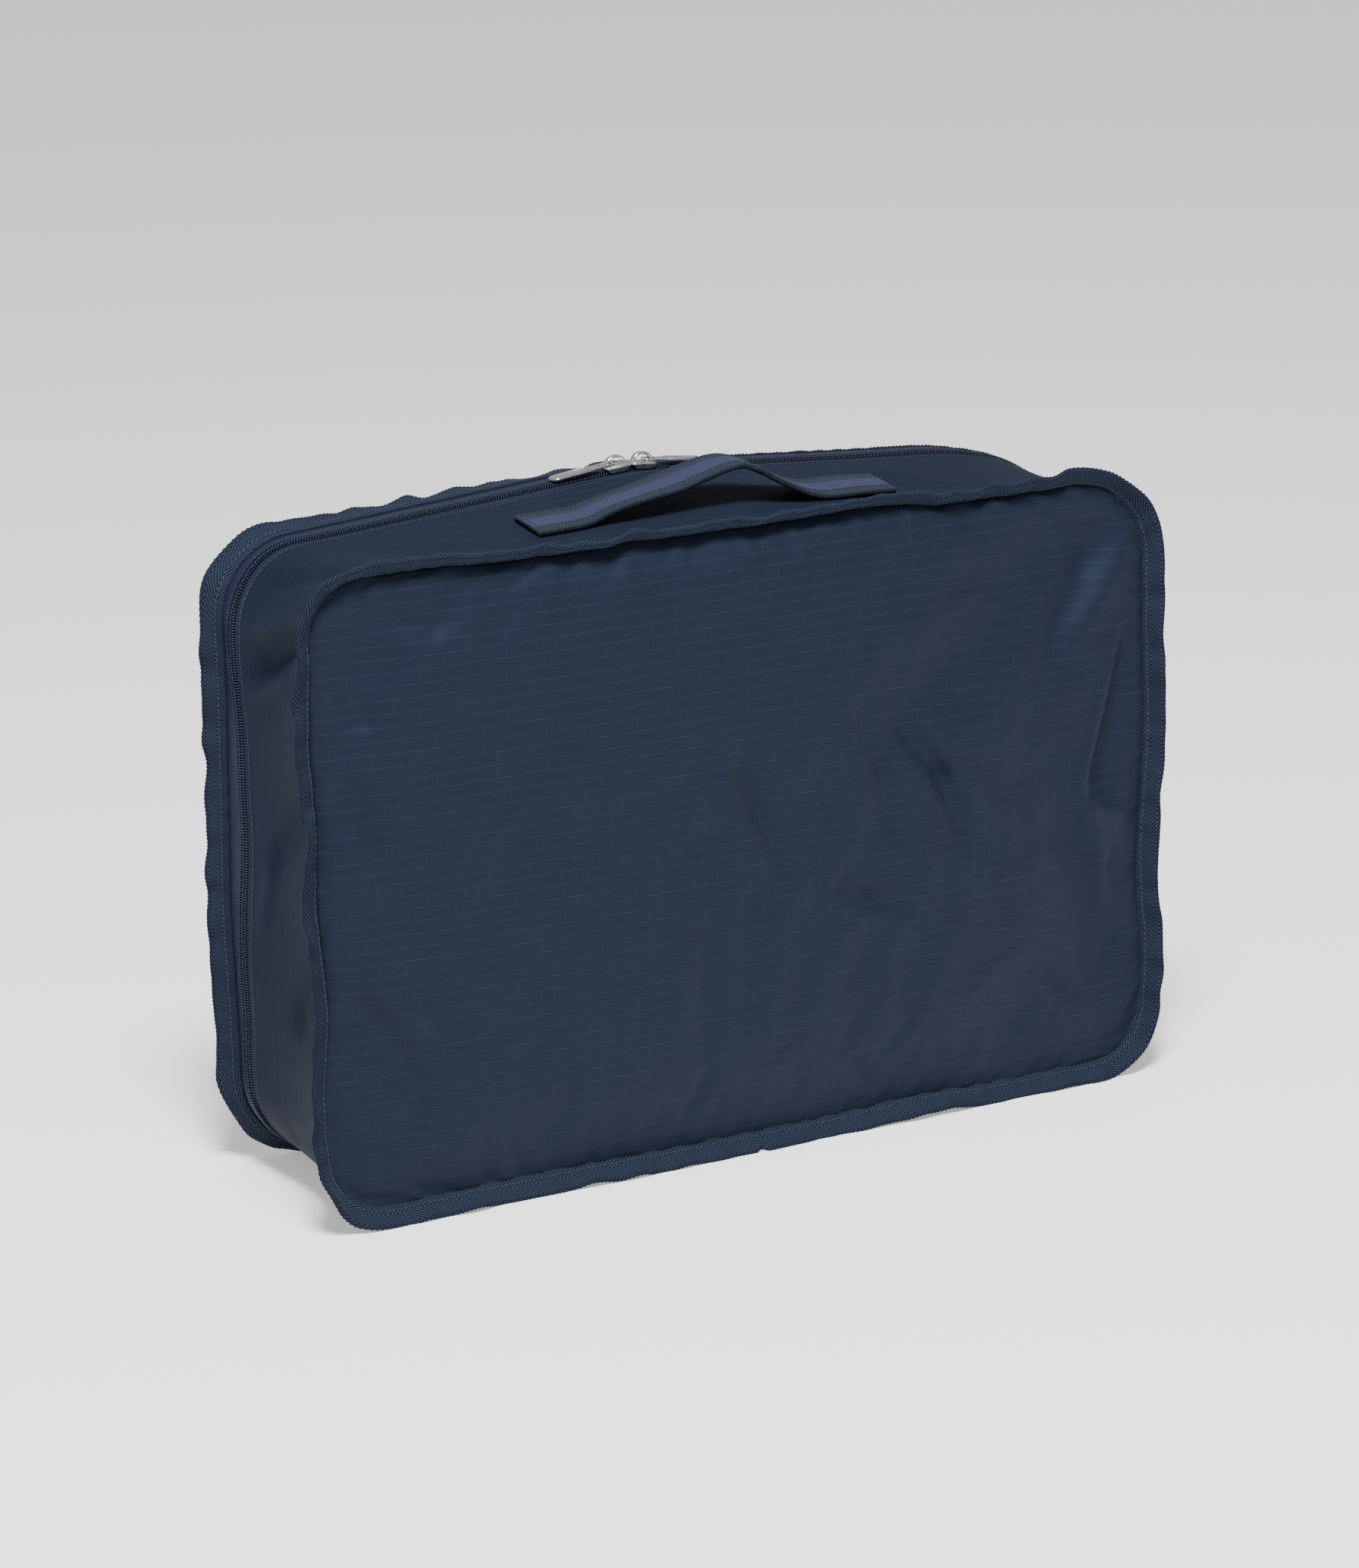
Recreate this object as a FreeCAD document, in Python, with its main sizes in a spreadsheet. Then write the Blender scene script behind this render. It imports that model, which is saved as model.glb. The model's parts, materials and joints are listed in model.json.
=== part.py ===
# Packing cube: a soft zip-up organiser for a suitcase.
#
# A front panel and a gusset make a shallow fabric tray. The back panel is the lid:
# it hinges along the base and a coil zipper with two sliders closes it round the
# sides and the top. Twill tape binds the front and back seams and stands out from
# them as fins. A webbing handle with a ribbon down its middle is sewn to the top.
#
# Frame: millimetres, +X to the right, +Y to the back, +Z up. The origin is on the
# table under the middle of the cube. The front seam lies at Y = -case_depth / 2.
import FreeCAD
import Part
import Sketcher
import math
import os
import re

V = FreeCAD.Vector

# Driving dimensions in millimetres: alias, value, what it is.
DIMENSIONS = [
    ("case_width", 445, "between the outer faces of the side gusset"),
    ("case_height", 300, "between the outer faces of base and top at the corners"),
    ("case_depth", 101, "between the front and the back seam"),
    ("corner_radius", 38, "corners of the panels"),
    ("front_crown", 1, "rise of the top seam at the ridge, at the front"),
    ("back_crown", 13.5, "rise of the top seam at the ridge, at the back"),
    ("ridge_shift", 13, "the ridge lies this far to the left of the middle"),
    ("cloth", 0.8, "nylon cloth"),
    ("binding_width", 12.7, "seam to folded edge of the binding tape"),
    ("binding_thick", 2.6, "folded binding tape with the seam allowance inside"),
    ("allowance_thick", 1.2, "seam allowance inside the binding"),
    ("allowance_wide", 10.8, "seam to cut edge of the seam allowance"),
    ("root_gap", 2.5, "the binding starts this far from the seam"),
    ("coil_setback", 12, "middle of the zipper coil in front of the back seam"),
    ("coil_band", 2.6, "width of one row of coil"),
    ("coil_rise", 2, "height of the coil above its tape"),
    ("coil_slit", 0.9, "between the two rows of coil"),
    ("zip_tape", 0.6, "thickness of the zipper tape"),
    ("hem_setback", 7.5, "folded edge of the gusset in front of the coil middle"),
    ("zipper_end", 165, "half the length of the hinge strip between the zipper ends"),
    ("thread", 0.6, "width of a row of stitches"),
    ("thread_rise", 0.3, "height of a row of stitches"),
    ("running_gap", 0.5, "between parts that move apart"),
    ("hinge_lift", 0.3, "hinge line of the lid above the base seam"),
    ("stop_length", 5, "bar tack over a zipper end"),
    ("stop_width", 9, "bar tack over a zipper end"),
    ("stop_thick", 1.1, "bar tack over a zipper end"),
    ("slider_length", 13.4, "slider along the zipper"),
    ("nose_gap", 0.8, "between the noses of the two sliders when closed"),
    ("slider_width", 9.6, "slider across the zipper"),
    ("slider_plate", 0.9, "thickness of the slider's plates"),
    ("slider_gap", 0.3, "between slider and coil"),
    ("post_length", 2.5, "post that parts the coils"),
    ("post_thick", 0.5, "post that parts the coils"),
    ("bridge_radius", 5.2, "outside of the slider's bridge"),
    ("bridge_wall", 1.8, "thickness of the slider's bridge"),
    ("bridge_width", 2.8, "width of the slider's bridge"),
    ("pivot_shift", 1.5, "pivot of the pull tab outward of the bridge middle"),
    ("pivot_rise", 1.6, "pivot of the pull tab above the slider's top plate"),
    ("pull_length", 34, "pivot to tip of the pull tab"),
    ("pull_width", 8, "pull tab"),
    ("pull_thick", 1.3, "pull tab"),
    ("pull_window", 7.4, "pivot to the far end of the pull tab's opening"),
    ("pull_arm", 1.4, "width of the arms beside the opening"),
    ("pull_rim", 0.9, "width of the raised rim"),
    ("pull_rim_rise", 0.2, "height of the raised rim"),
    ("handle_setback", 14, "middle of the handle in front of the middle plane"),
    ("strap_width", 28, "handle webbing"),
    ("strap_thick", 1.8, "handle webbing"),
    ("ribbon_width", 13, "ribbon on the webbing"),
    ("ribbon_thick", 0.5, "ribbon on the webbing"),
    ("left_tab_outer", 92, "outer end of the left sewn end, left of the middle"),
    ("left_tab_inner", 67, "inner end of the left sewn end"),
    ("left_bend", 33, "where the strap starts to swing, on the left"),
    ("right_tab_inner", 63, "inner end of the right sewn end, right of the middle"),
    ("right_tab_outer", 93, "outer end of the right sewn end"),
    ("right_bend", 36, "where the strap starts to swing, on the right"),
    ("bend_gap", 1.6, "between the swinging arch and the sewn ends"),
    ("bend_rise", 7, "height of the strap above the ridge at both bends"),
    ("tab_lift", 0.5, "sewn ends above the top gusset"),
    ("apex_shift", 12, "highest point of the handle, right of the middle"),
    ("apex_rise", 17, "highest point of the handle above the ridge"),
    ("apex_radius", 15, "bend at the top of the handle"),
]
NAMES = {alias for alias, _, _ in DIMENSIONS}

# Places that several parts share, as expressions in the dimensions.
BASE = "binding_width * cos(45)"
FRONT = "-(case_depth / 2)"
BACK = "case_depth / 2"
COIL = "case_depth / 2 - coil_setback"
HEM = f"{COIL} - hem_setback"
CORNER_X = "case_width / 2 - corner_radius"
CORNER_LOW = f"{BASE} + corner_radius"
CORNER_HIGH = f"{BASE} + case_height - corner_radius"
RIDGE = "-ridge_shift"

doc = FreeCAD.newDocument("packing_cube")
sheet = doc.addObject("Spreadsheet::Sheet", "dims")
for row, (alias, value, note) in enumerate(DIMENSIONS, start=1):
    sheet.set(f"A{row}", alias)
    sheet.set(f"B{row}", str(value))
    sheet.set(f"C{row}", note)
    sheet.setAlias(f"B{row}", alias)
doc.recompute()


def bound(expression):
    """Point every alias in an expression at the spreadsheet."""
    def cell(match):
        word = match.group(0)
        return "dims." + word if word in NAMES else word
    return re.sub(r"[a-z_][a-z_0-9]*", cell, expression)


def size(expression):
    """The value of an expression in the dimensions."""
    result = sheet.evalExpression(bound(expression))
    return float(getattr(result, "Value", result))


def crown(y):
    """Rise of the top at the ridge, as an expression, at depth y. It grows from the
    front seam to the gusset's hem and stays the same across the zipper."""
    if size(y) >= size(HEM) - 1e-6:
        return "back_crown"
    share = f"((({y}) - ({FRONT})) / (({HEM}) - ({FRONT})))"
    return f"(front_crown + (back_crown - front_crown) * {share})"


# ---------------------------------------------------------------- sketches
def new_body(label):
    body = doc.addObject("PartDesign::Body", label)
    body.Label = label
    return body


def new_sketch(body, role, name, offset="0"):
    """A sketch on one of the body's own origin planes, moved along its normal."""
    sketch = body.newObject("Sketcher::SketchObject", name)
    plane = next(f for f in body.Origin.OriginFeatures if f.Role == role)
    sketch.AttachmentSupport = (plane, [""])
    sketch.MapMode = "FlatFace"
    sketch.setExpression("AttachmentOffset.Base.z", bound(offset))
    return sketch


def place(sketch, geometry, point, name, x, y):
    """Fix a point of the sketch at two bound coordinates."""
    for kind, axis, expression in (("DistanceX", -2, x), ("DistanceY", -1, y)):
        value = size(expression)
        if abs(value) < 1e-9:
            sketch.addConstraint(Sketcher.Constraint("PointOnObject", geometry, point, axis))
            continue
        ends = (-1, 1, geometry, point) if value > 0 else (geometry, point, -1, 1)
        index = sketch.addConstraint(Sketcher.Constraint(kind, *ends, abs(value)))
        label = f"{name}_{kind[-1].lower()}"
        sketch.renameConstraint(index, label)
        sign = "" if value > 0 else "-"
        sketch.setExpression(f"Constraints.{label}", bound(f"{sign}({expression})"))


def radius(sketch, geometry, name, expression):
    index = sketch.addConstraint(Sketcher.Constraint("Radius", geometry, size(expression)))
    sketch.renameConstraint(index, name)
    sketch.setExpression(f"Constraints.{name}", bound(expression))


def polygon(sketch, name, points):
    """A closed polygon whose corners are pairs of expressions."""
    corners = [V(size(x), size(y), 0) for x, y in points]
    count = len(corners)
    edges = [Part.LineSegment(corners[i], corners[(i + 1) % count]) for i in range(count)]
    ids = sketch.addGeometry(edges)
    for i in range(count):
        sketch.addConstraint(
            Sketcher.Constraint("Coincident", ids[i], 2, ids[(i + 1) % count], 1))
    for i, (x, y) in enumerate(points):
        place(sketch, ids[i], 1, f"{name}{i}", x, y)


def rectangle(sketch, name, x0, x1, y0, y1):
    polygon(sketch, name, [(x0, y0), (x1, y0), (x1, y1), (x0, y1)])


def outline(sketch, name, inset, y):
    """The panel's outline at depth y, moved in by inset: four rounded corners and a
    low rounded ridge, joined by straight runs."""
    arc_radius = f"corner_radius - ({inset})"
    rise = crown(y)
    centres = [
        (CORNER_X, CORNER_LOW),
        (CORNER_X, CORNER_HIGH),
        (RIDGE, f"{CORNER_HIGH} + {rise}"),
        (f"-({CORNER_X})", CORNER_HIGH),
        (f"-({CORNER_X})", CORNER_LOW),
    ]
    slope_right = math.degrees(math.atan2(size(rise), size(f"{CORNER_X} - ({RIDGE})")))
    slope_left = math.degrees(math.atan2(size(rise), size(f"{CORNER_X} + ({RIDGE})")))
    turns = [
        (-90, 0),
        (0, 90 - slope_right),
        (90 - slope_right, 90 + slope_left),
        (90 + slope_left, 180),
        (180, 270),
    ]
    arcs = []
    for (x, z), (start, end) in zip(centres, turns):
        circle = Part.Circle(V(size(x), size(z), 0), V(0, 0, 1), size(arc_radius))
        arcs.append(Part.ArcOfCircle(circle, math.radians(start), math.radians(end)))
    pieces = []
    for arc, following in zip(arcs, arcs[1:] + arcs[:1]):
        pieces.append(arc)
        pieces.append(Part.LineSegment(arc.EndPoint, following.StartPoint))
    ids = sketch.addGeometry(pieces)
    for here, following in zip(ids, ids[1:] + ids[:1]):
        sketch.addConstraint(Sketcher.Constraint("Tangent", here, 2, following, 1))
    for other in ids[2::2]:
        sketch.addConstraint(Sketcher.Constraint("Equal", ids[0], other))
    radius(sketch, ids[0], f"{name}_radius", arc_radius)
    for arc, (x, z) in zip(ids[::2], centres):
        place(sketch, arc, 3, f"{name}_centre{arc}", x, z)


# ---------------------------------------------------------------- features
def pad(body, sketch, length, reverse=False, midplane=False):
    feature = body.newObject("PartDesign::Pad", f"{sketch.Name}_pad")
    feature.Profile = sketch
    feature.setExpression("Length", bound(length))
    feature.Reversed = reverse
    feature.Midplane = midplane
    return feature


def pocket_through(body, sketch):
    """Cut the sketch right through the body, both ways."""
    feature = body.newObject("PartDesign::Pocket", f"{sketch.Name}_pocket")
    feature.Profile = sketch
    feature.Type = "ThroughAll"
    feature.Midplane = True
    return feature


def slab(body, name, x0, x1, y0, y1, z0, z1):
    """A block between bound limits."""
    sketch = new_sketch(body, "XY_Plane", f"{body.Name}_{name}", z0)
    rectangle(sketch, f"{name}_", x0, x1, y0, y1)
    return pad(body, sketch, f"({z1}) - ({z0})")


def loft(body, kind, name, inset, y0, y1):
    """Loft the outline at depth y0 to the outline at depth y1."""
    sections = []
    for tag, y in (("a", y0), ("b", y1)):
        sketch = new_sketch(body, "XZ_Plane", f"{body.Name}_{name}_{tag}", f"-({y})")
        outline(sketch, f"{name}{tag}", inset, y)
        sections.append(sketch)
    feature = body.newObject(kind, f"{body.Name}_{name}")
    feature.Profile = sections[0]
    feature.Sections = [sections[1]]
    feature.Ruled = True
    return feature


def band(label, outer, inner, y0, y1):
    """A strip of constant thickness round the gusset, from depth y0 to depth y1.
    It is cut away along the hinge strip between the zipper ends."""
    body = new_body(label)
    loft(body, "PartDesign::AdditiveLoft", "outer", outer, y0, y1)
    loft(body, "PartDesign::SubtractiveLoft", "inner", inner, y0, y1)
    clear_hinge_strip(body)
    return body


def clear_hinge_strip(body):
    """Remove what lies along the base between the zipper ends."""
    sketch = new_sketch(body, "XZ_Plane", f"{body.Name}_strip")
    rectangle(sketch, "strip", "-zipper_end", "zipper_end",
              f"-({BASE})", f"{BASE} + corner_radius / 2")
    return pocket_through(body, sketch)


def fin_sketch(body, name, y, points):
    """A cross-section of a fin at the seam at depth y, in the middle of the base.
    Its first axis runs outward from the seam at 45 degrees, away from the cube."""
    front = size(y) < 0
    sketch = body.newObject("Sketcher::SketchObject", f"{body.Name}_{name}")
    plane = next(f for f in body.Origin.OriginFeatures if f.Role == "YZ_Plane")
    sketch.AttachmentSupport = (plane, [""])
    sketch.MapMode = "FlatFace"
    angle = -135 if front else -45
    sketch.AttachmentOffset = FreeCAD.Placement(
        V(size(y), size(BASE), 0), FreeCAD.Rotation(V(0, 0, 1), angle))
    sketch.setExpression("AttachmentOffset.Base.x", bound(y))
    sketch.setExpression("AttachmentOffset.Base.y", bound(BASE))
    polygon(sketch, f"{name}_", points)
    return sketch


def sweep_round(body, name, y, points):
    """Sweep a fin's cross-section all the way round the seam at depth y."""
    path = new_sketch(body, "XZ_Plane", f"{body.Name}_{name}_path", f"-({y})")
    outline(path, f"{name}p", "0", y)
    profile = fin_sketch(body, name, y, points)
    feature = body.newObject("PartDesign::AdditivePipe", f"{body.Name}_{name}_sweep")
    feature.Profile = profile
    feature.Spine = (path, [""])
    feature.Transition = "Transformed"
    return feature


HALF = "binding_thick / 2"
SLOT = "(allowance_thick / 2 + 0.05)"
BINDING = [
    ("root_gap", HALF),
    (f"binding_width - {HALF}", HALF),
    ("binding_width", "0"),
    (f"binding_width - {HALF}", f"-({HALF})"),
    ("root_gap", f"-({HALF})"),
    ("root_gap", f"-{SLOT}"),
    ("allowance_wide + 0.1", f"-{SLOT}"),
    ("allowance_wide + 0.1", SLOT),
    ("root_gap", SLOT),
]
ALLOWANCE = [
    ("root_gap - 1", "allowance_thick / 2"),
    ("allowance_wide", "allowance_thick / 2"),
    ("allowance_wide", "-(allowance_thick / 2)"),
    ("root_gap - 1", "-(allowance_thick / 2)"),
]


# A row of stitches near the open edge of the binding, on its outer face.
STITCH_ROW = [
    ("root_gap + 1.5", f"{HALF}"),
    ("root_gap + 1.5 + thread", f"{HALF}"),
    ("root_gap + 1.5 + thread", f"{HALF} + thread_rise"),
    ("root_gap + 1.5", f"{HALF} + thread_rise"),
]


# ---------------------------------------------------------------- cloth
def front_panel():
    body = new_body("front_panel")
    sketch = new_sketch(body, "XZ_Plane", "front_panel_face", f"-({FRONT} + cloth / 2)")
    outline(sketch, "face", "0", FRONT)
    pad(body, sketch, "cloth")
    return body


def back_panel():
    """The lid's cloth. Its edge clears the hinge strip of the base gusset."""
    body = new_body("back_panel")
    sketch = new_sketch(body, "XZ_Plane", "back_panel_face", f"-({BACK} - cloth / 2)")
    outline(sketch, "face", "0", BACK)
    pad(body, sketch, "cloth", reverse=True)
    strip = new_sketch(body, "XZ_Plane", "back_panel_strip")
    rectangle(strip, "strip", "-(zipper_end + 1)", "zipper_end + 1",
              f"-({BASE})", f"{BASE} + 2 * hinge_lift + running_gap")
    pocket_through(body, strip)
    return body


def trim_lid_fins(body):
    """Shorten the fins under the hinge line so that they clear the table as the lid
    swings down."""
    reach = f"({BASE} + hinge_lift - 0.2)"
    line = f"({BASE} + hinge_lift)"
    sketch = new_sketch(body, "YZ_Plane", f"{body.Name}_sweep_room")
    y, z, r = size(BACK), size(line), size(reach)
    circle = Part.Circle(V(y, z, 0), V(0, 0, 1), r)
    far = y + 2 * r
    corners = [V(y + r, z, 0), V(far, z, 0), V(far, -r, 0), V(y, -r, 0), V(y, z - r, 0)]
    edges = [Part.LineSegment(a, b) for a, b in zip(corners, corners[1:])]
    ids = sketch.addGeometry(edges + [Part.ArcOfCircle(circle, -math.pi / 2, 0)])
    for here, following in zip(ids[:3], ids[1:4]):
        sketch.addConstraint(Sketcher.Constraint("Coincident", here, 2, following, 1))
    arc = ids[4]
    sketch.addConstraint(Sketcher.Constraint("Coincident", ids[3], 2, arc, 1))
    sketch.addConstraint(Sketcher.Constraint("Coincident", arc, 2, ids[0], 1))
    sketch.addConstraint(Sketcher.Constraint("Horizontal", ids[0]))
    sketch.addConstraint(Sketcher.Constraint("Vertical", ids[3]))
    place(sketch, arc, 3, "hinge", BACK, line)
    radius(sketch, arc, "reach", reach)
    place(sketch, ids[1], 1, "far", f"{BACK} + 2 * {reach}", line)
    place(sketch, ids[3], 1, "low", BACK, f"-{reach}")
    place(sketch, ids[2], 1, "out", f"{BACK} + 2 * {reach}", f"-{reach}")
    return pocket_through(body, sketch)


def base_gusset():
    """The base between the zipper ends."""
    body = new_body("base_gusset")
    slab(body, "floor", "-zipper_end", "zipper_end", f"{FRONT} + cloth / 2",
         f"{BACK} - cloth / 2 - running_gap", BASE, f"{BASE} + cloth")
    return body


def front_allowance():
    """The cut edges of front panel and gusset, turned out into the front binding."""
    body = new_body("front_allowance")
    sweep_round(body, "edge", FRONT, ALLOWANCE)
    return body


def back_allowance():
    """The cut edges of back panel and zipper tape, turned out into the back binding."""
    body = new_body("back_allowance")
    sweep_round(body, "edge", BACK, ALLOWANCE)
    clear_hinge_strip(body)
    trim_lid_fins(body)
    return body


def hinge_allowance():
    """The cut edges inside the fixed part of the back binding."""
    body = new_body("hinge_allowance")
    sketch = fin_sketch(body, "edge", BACK, ALLOWANCE)
    pad(body, sketch, "2 * (zipper_end - running_gap)", midplane=True)
    return body


def front_binding():
    body = new_body("front_binding")
    sweep_round(body, "tape", FRONT, BINDING)
    return body


def back_binding():
    """The binding of the lid, from one zipper end round the top to the other."""
    body = new_body("back_binding")
    sweep_round(body, "tape", BACK, BINDING)
    clear_hinge_strip(body)
    trim_lid_fins(body)
    return body


def hinge_binding():
    """The binding along the hinge strip, which stays with the base."""
    body = new_body("hinge_binding")
    sketch = fin_sketch(body, "tape", BACK, BINDING)
    pad(body, sketch, "2 * (zipper_end - running_gap)", midplane=True)
    return body


def front_binding_thread():
    body = new_body("front_binding_thread")
    sweep_round(body, "row", FRONT, STITCH_ROW)
    return body


def back_binding_thread():
    body = new_body("back_binding_thread")
    sweep_round(body, "row", BACK, STITCH_ROW)
    clear_hinge_strip(body)
    trim_lid_fins(body)
    return body


# ---------------------------------------------------------------- zipper
TAPE_TOP = "cloth"
TAPE_UNDER = "cloth + zip_tape"
COIL_TOP = "cloth - coil_rise"


def zipper():
    slit = "coil_slit / 2"
    row = "coil_slit / 2 + coil_band"
    return [
        band("side_gusset", "0", "cloth", f"{FRONT} + cloth / 2", HEM),
        band("zipper_tape_case", TAPE_TOP, TAPE_UNDER, HEM, f"{COIL} - {slit}"),
        band("zipper_tape_lid", TAPE_TOP, TAPE_UNDER, f"{COIL} + {slit}", f"{BACK} - cloth / 2"),
        band("zipper_coil_case", COIL_TOP, TAPE_TOP, f"{COIL} - ({row})", f"{COIL} - {slit}"),
        band("zipper_coil_lid", COIL_TOP, TAPE_TOP, f"{COIL} + {slit}", f"{COIL} + {row}"),
        band("hem_thread", "-thread_rise", "0", f"{HEM} - 2 - thread", f"{HEM} - 2"),
    ]


def zipper_stop(side, label):
    """A bar tack on the base gusset over the end of the zipper."""
    body = new_body(label)
    near, far = "zipper_end - stop_length", "zipper_end - running_gap"
    x0, x1 = (f"-({far})", f"-({near})") if side < 0 else (near, far)
    slab(body, "tack", x0, x1, f"{COIL} - stop_width / 2", f"{COIL} + stop_width / 2",
         f"{BASE} - stop_thick", BASE)
    return body


# ---------------------------------------------------------------- sliders
def slope_angle(side):
    """Slope of the coil in degrees on one side of the ridge, in the middle of the coil."""
    run = size(f"{CORNER_X} - ({RIDGE})") if side > 0 else size(f"{CORNER_X} + ({RIDGE})")
    return math.degrees(math.atan2(size(crown(COIL)), run))


def slider_frame(side):
    """A slider's own frame: +X outward along the coil, +Z off the coil, origin on top
    of the coil under the middle of the slider."""
    angle = math.radians(slope_angle(side))
    reach = size("corner_radius - cloth + coil_rise")
    ridge = V(size(RIDGE), size(COIL), size(f"{CORNER_HIGH} + {crown(COIL)}"))
    normal = V(side * math.sin(angle), 0, math.cos(angle))
    along = V(side * math.cos(angle), 0, -math.sin(angle))
    start = size("slider_length / 2 + nose_gap / 2") - reach * math.sin(angle)
    origin = ridge + normal * reach + along * start
    across = normal.cross(along)
    matrix = FreeCAD.Matrix(
        along.x, across.x, normal.x, origin.x,
        along.y, across.y, normal.y, origin.y,
        along.z, across.z, normal.z, origin.z,
        0, 0, 0, 1)
    return FreeCAD.Placement(matrix)


def slider_body(side, label):
    """Top plate over both coils, a wall on the case side, a post between the coils and
    a lower plate under the case side's tape. In the slider's frame the case side is
    +Y on the left slider and -Y on the right one."""
    body = new_body(label)
    case_side = -side
    half_length, half_width = "slider_length / 2", "slider_width / 2"
    top = "slider_gap + slider_plate"
    under = "-(coil_rise + zip_tape + slider_gap)"

    def span(low, high):
        """Two limits across the zipper, measured towards the case side."""
        return (low, high) if case_side > 0 else (f"-({high})", f"-({low})")

    plate = new_sketch(body, "XY_Plane", f"{label}_plate", "slider_gap")
    nose = "slider_width / 2 - 2"
    polygon(plate, "plate", [
        (f"-({half_length}) + 3", f"-({half_width})"), (f"{half_length} - 2", f"-({nose}) - 1"),
        (half_length, f"-({nose})"), (half_length, nose),
        (f"{half_length} - 2", f"{nose} + 1"), (f"-({half_length}) + 3", half_width),
        (f"-({half_length})", nose), (f"-({half_length})", f"-({nose})")])
    pad(body, plate, "slider_plate")
    wall0, wall1 = span(f"{half_width} - slider_plate", half_width)
    slab(body, "wall", f"-({half_length}) + 3", f"{half_length} - 4", wall0, wall1,
         "-(coil_rise - slider_gap)", top)
    slab(body, "post", f"-({half_length})", f"-({half_length}) + post_length",
         "-(post_thick / 2)", "post_thick / 2", under, top)
    low0, low1 = span("-(post_thick / 2)", half_width)
    slab(body, "lower", f"-({half_length})", f"{half_length} - 2", low0, low1,
         f"{under} - slider_plate", under)
    body.Placement = slider_frame(side)
    return body


def slider_bridge(side, label):
    """The arched bridge on the top plate that holds the pull tab."""
    body = new_body(label)
    sketch = new_sketch(body, "XZ_Plane", f"{label}_arch")
    deck = "slider_gap + slider_plate"
    z = size(deck)
    outer, inner = size("bridge_radius"), size("bridge_radius - bridge_wall")
    arcs = [Part.ArcOfCircle(Part.Circle(V(0, z, 0), V(0, 0, 1), r), 0, math.pi)
            for r in (outer, inner)]
    feet = [Part.LineSegment(V(s * inner, z, 0), V(s * outer, z, 0)) for s in (1, -1)]
    ids = sketch.addGeometry(arcs + feet)
    for arc, name, expression in (
            (ids[0], "outer", "bridge_radius"), (ids[1], "inner", "bridge_radius - bridge_wall")):
        place(sketch, arc, 3, name, "0", deck)
        radius(sketch, arc, f"{name}_radius", expression)
    for foot, end in ((ids[2], 1), (ids[3], 2)):
        sketch.addConstraint(Sketcher.Constraint("Coincident", foot, 1, ids[1], end))
        sketch.addConstraint(Sketcher.Constraint("Coincident", foot, 2, ids[0], end))
        sketch.addConstraint(Sketcher.Constraint("Horizontal", foot))
    pad(body, sketch, "bridge_width", midplane=True)
    body.Placement = slider_frame(side)
    return body


def pull_frame(side):
    """A pull tab's own frame: origin on its pivot, +X outward to its tip, which lies
    just above the coil."""
    pivot = V(size("pivot_shift"), 0, size("slider_gap + slider_plate + pivot_rise"))
    drop = size("slider_gap + slider_plate + pivot_rise - pull_thick / 2 - 0.5")
    tilt = math.degrees(math.asin(drop / size("pull_length")))
    local = FreeCAD.Placement(pivot, FreeCAD.Rotation(V(0, 1, 0), tilt))
    return slider_frame(side).multiply(local)


def pull_tab(side, label):
    """A flat tab with a round tip, a raised rim and an opening that takes the bridge."""
    body = new_body(label)
    half_width = "pull_width / 2"
    sketch = new_sketch(body, "XY_Plane", f"{label}_blank", "-(pull_thick / 2)")
    tip = "pull_length - pull_width / 2"
    eye = "bridge_width / 2 + 0.4 + pull_arm"
    neck = "pull_window + 3"
    w, c, e, n = size(half_width), size(tip), size(eye), size(neck)
    start = -size("pull_thick / 2")
    corners = [V(c, -w, 0), V(n, -w, 0), V(n - 2, -e, 0), V(start, -e, 0),
               V(start, e, 0), V(n - 2, e, 0), V(n, w, 0), V(c, w, 0)]
    edges = [Part.LineSegment(a, b) for a, b in zip(corners, corners[1:])]
    round_tip = Part.ArcOfCircle(
        Part.Circle(V(c, 0, 0), V(0, 0, 1), w), -math.pi / 2, math.pi / 2)
    ids = sketch.addGeometry(edges + [round_tip])
    for here, following in zip(ids[:6], ids[1:7]):
        sketch.addConstraint(Sketcher.Constraint("Coincident", here, 2, following, 1))
    arc = ids[7]
    sketch.addConstraint(Sketcher.Constraint("Tangent", arc, 1, ids[0], 1))
    sketch.addConstraint(Sketcher.Constraint("Tangent", ids[6], 2, arc, 2))
    place(sketch, arc, 3, "tip", tip, "0")
    places = [(neck, f"-({half_width})"), (f"{neck} - 2", f"-({eye})"),
              ("-(pull_thick / 2)", f"-({eye})"), ("-(pull_thick / 2)", eye),
              (f"{neck} - 2", eye), (neck, half_width)]
    for i, (x, y) in enumerate(places):
        place(sketch, ids[i], 2, f"edge{i}", x, y)
    pad(body, sketch, "pull_thick")
    window = new_sketch(body, "XY_Plane", f"{label}_window")
    rectangle(window, "window", "pull_thick / 2", "pull_window",
              f"-({eye} - pull_arm)", f"{eye} - pull_arm")
    pocket_through(body, window)
    panel = new_sketch(body, "XY_Plane", f"{label}_panel", "pull_thick / 2 - pull_rim_rise")
    rectangle(panel, "panel", "pull_window + 5", tip,
              f"-({half_width} - pull_rim)", f"{half_width} - pull_rim")
    recess = body.newObject("PartDesign::Pocket", f"{label}_recess")
    recess.Profile = panel
    recess.setExpression("Length", bound("pull_thick"))
    recess.Reversed = True
    body.Placement = pull_frame(side)
    return body


# ---------------------------------------------------------------- handle
HANDLE_Y = "-handle_setback"


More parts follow.
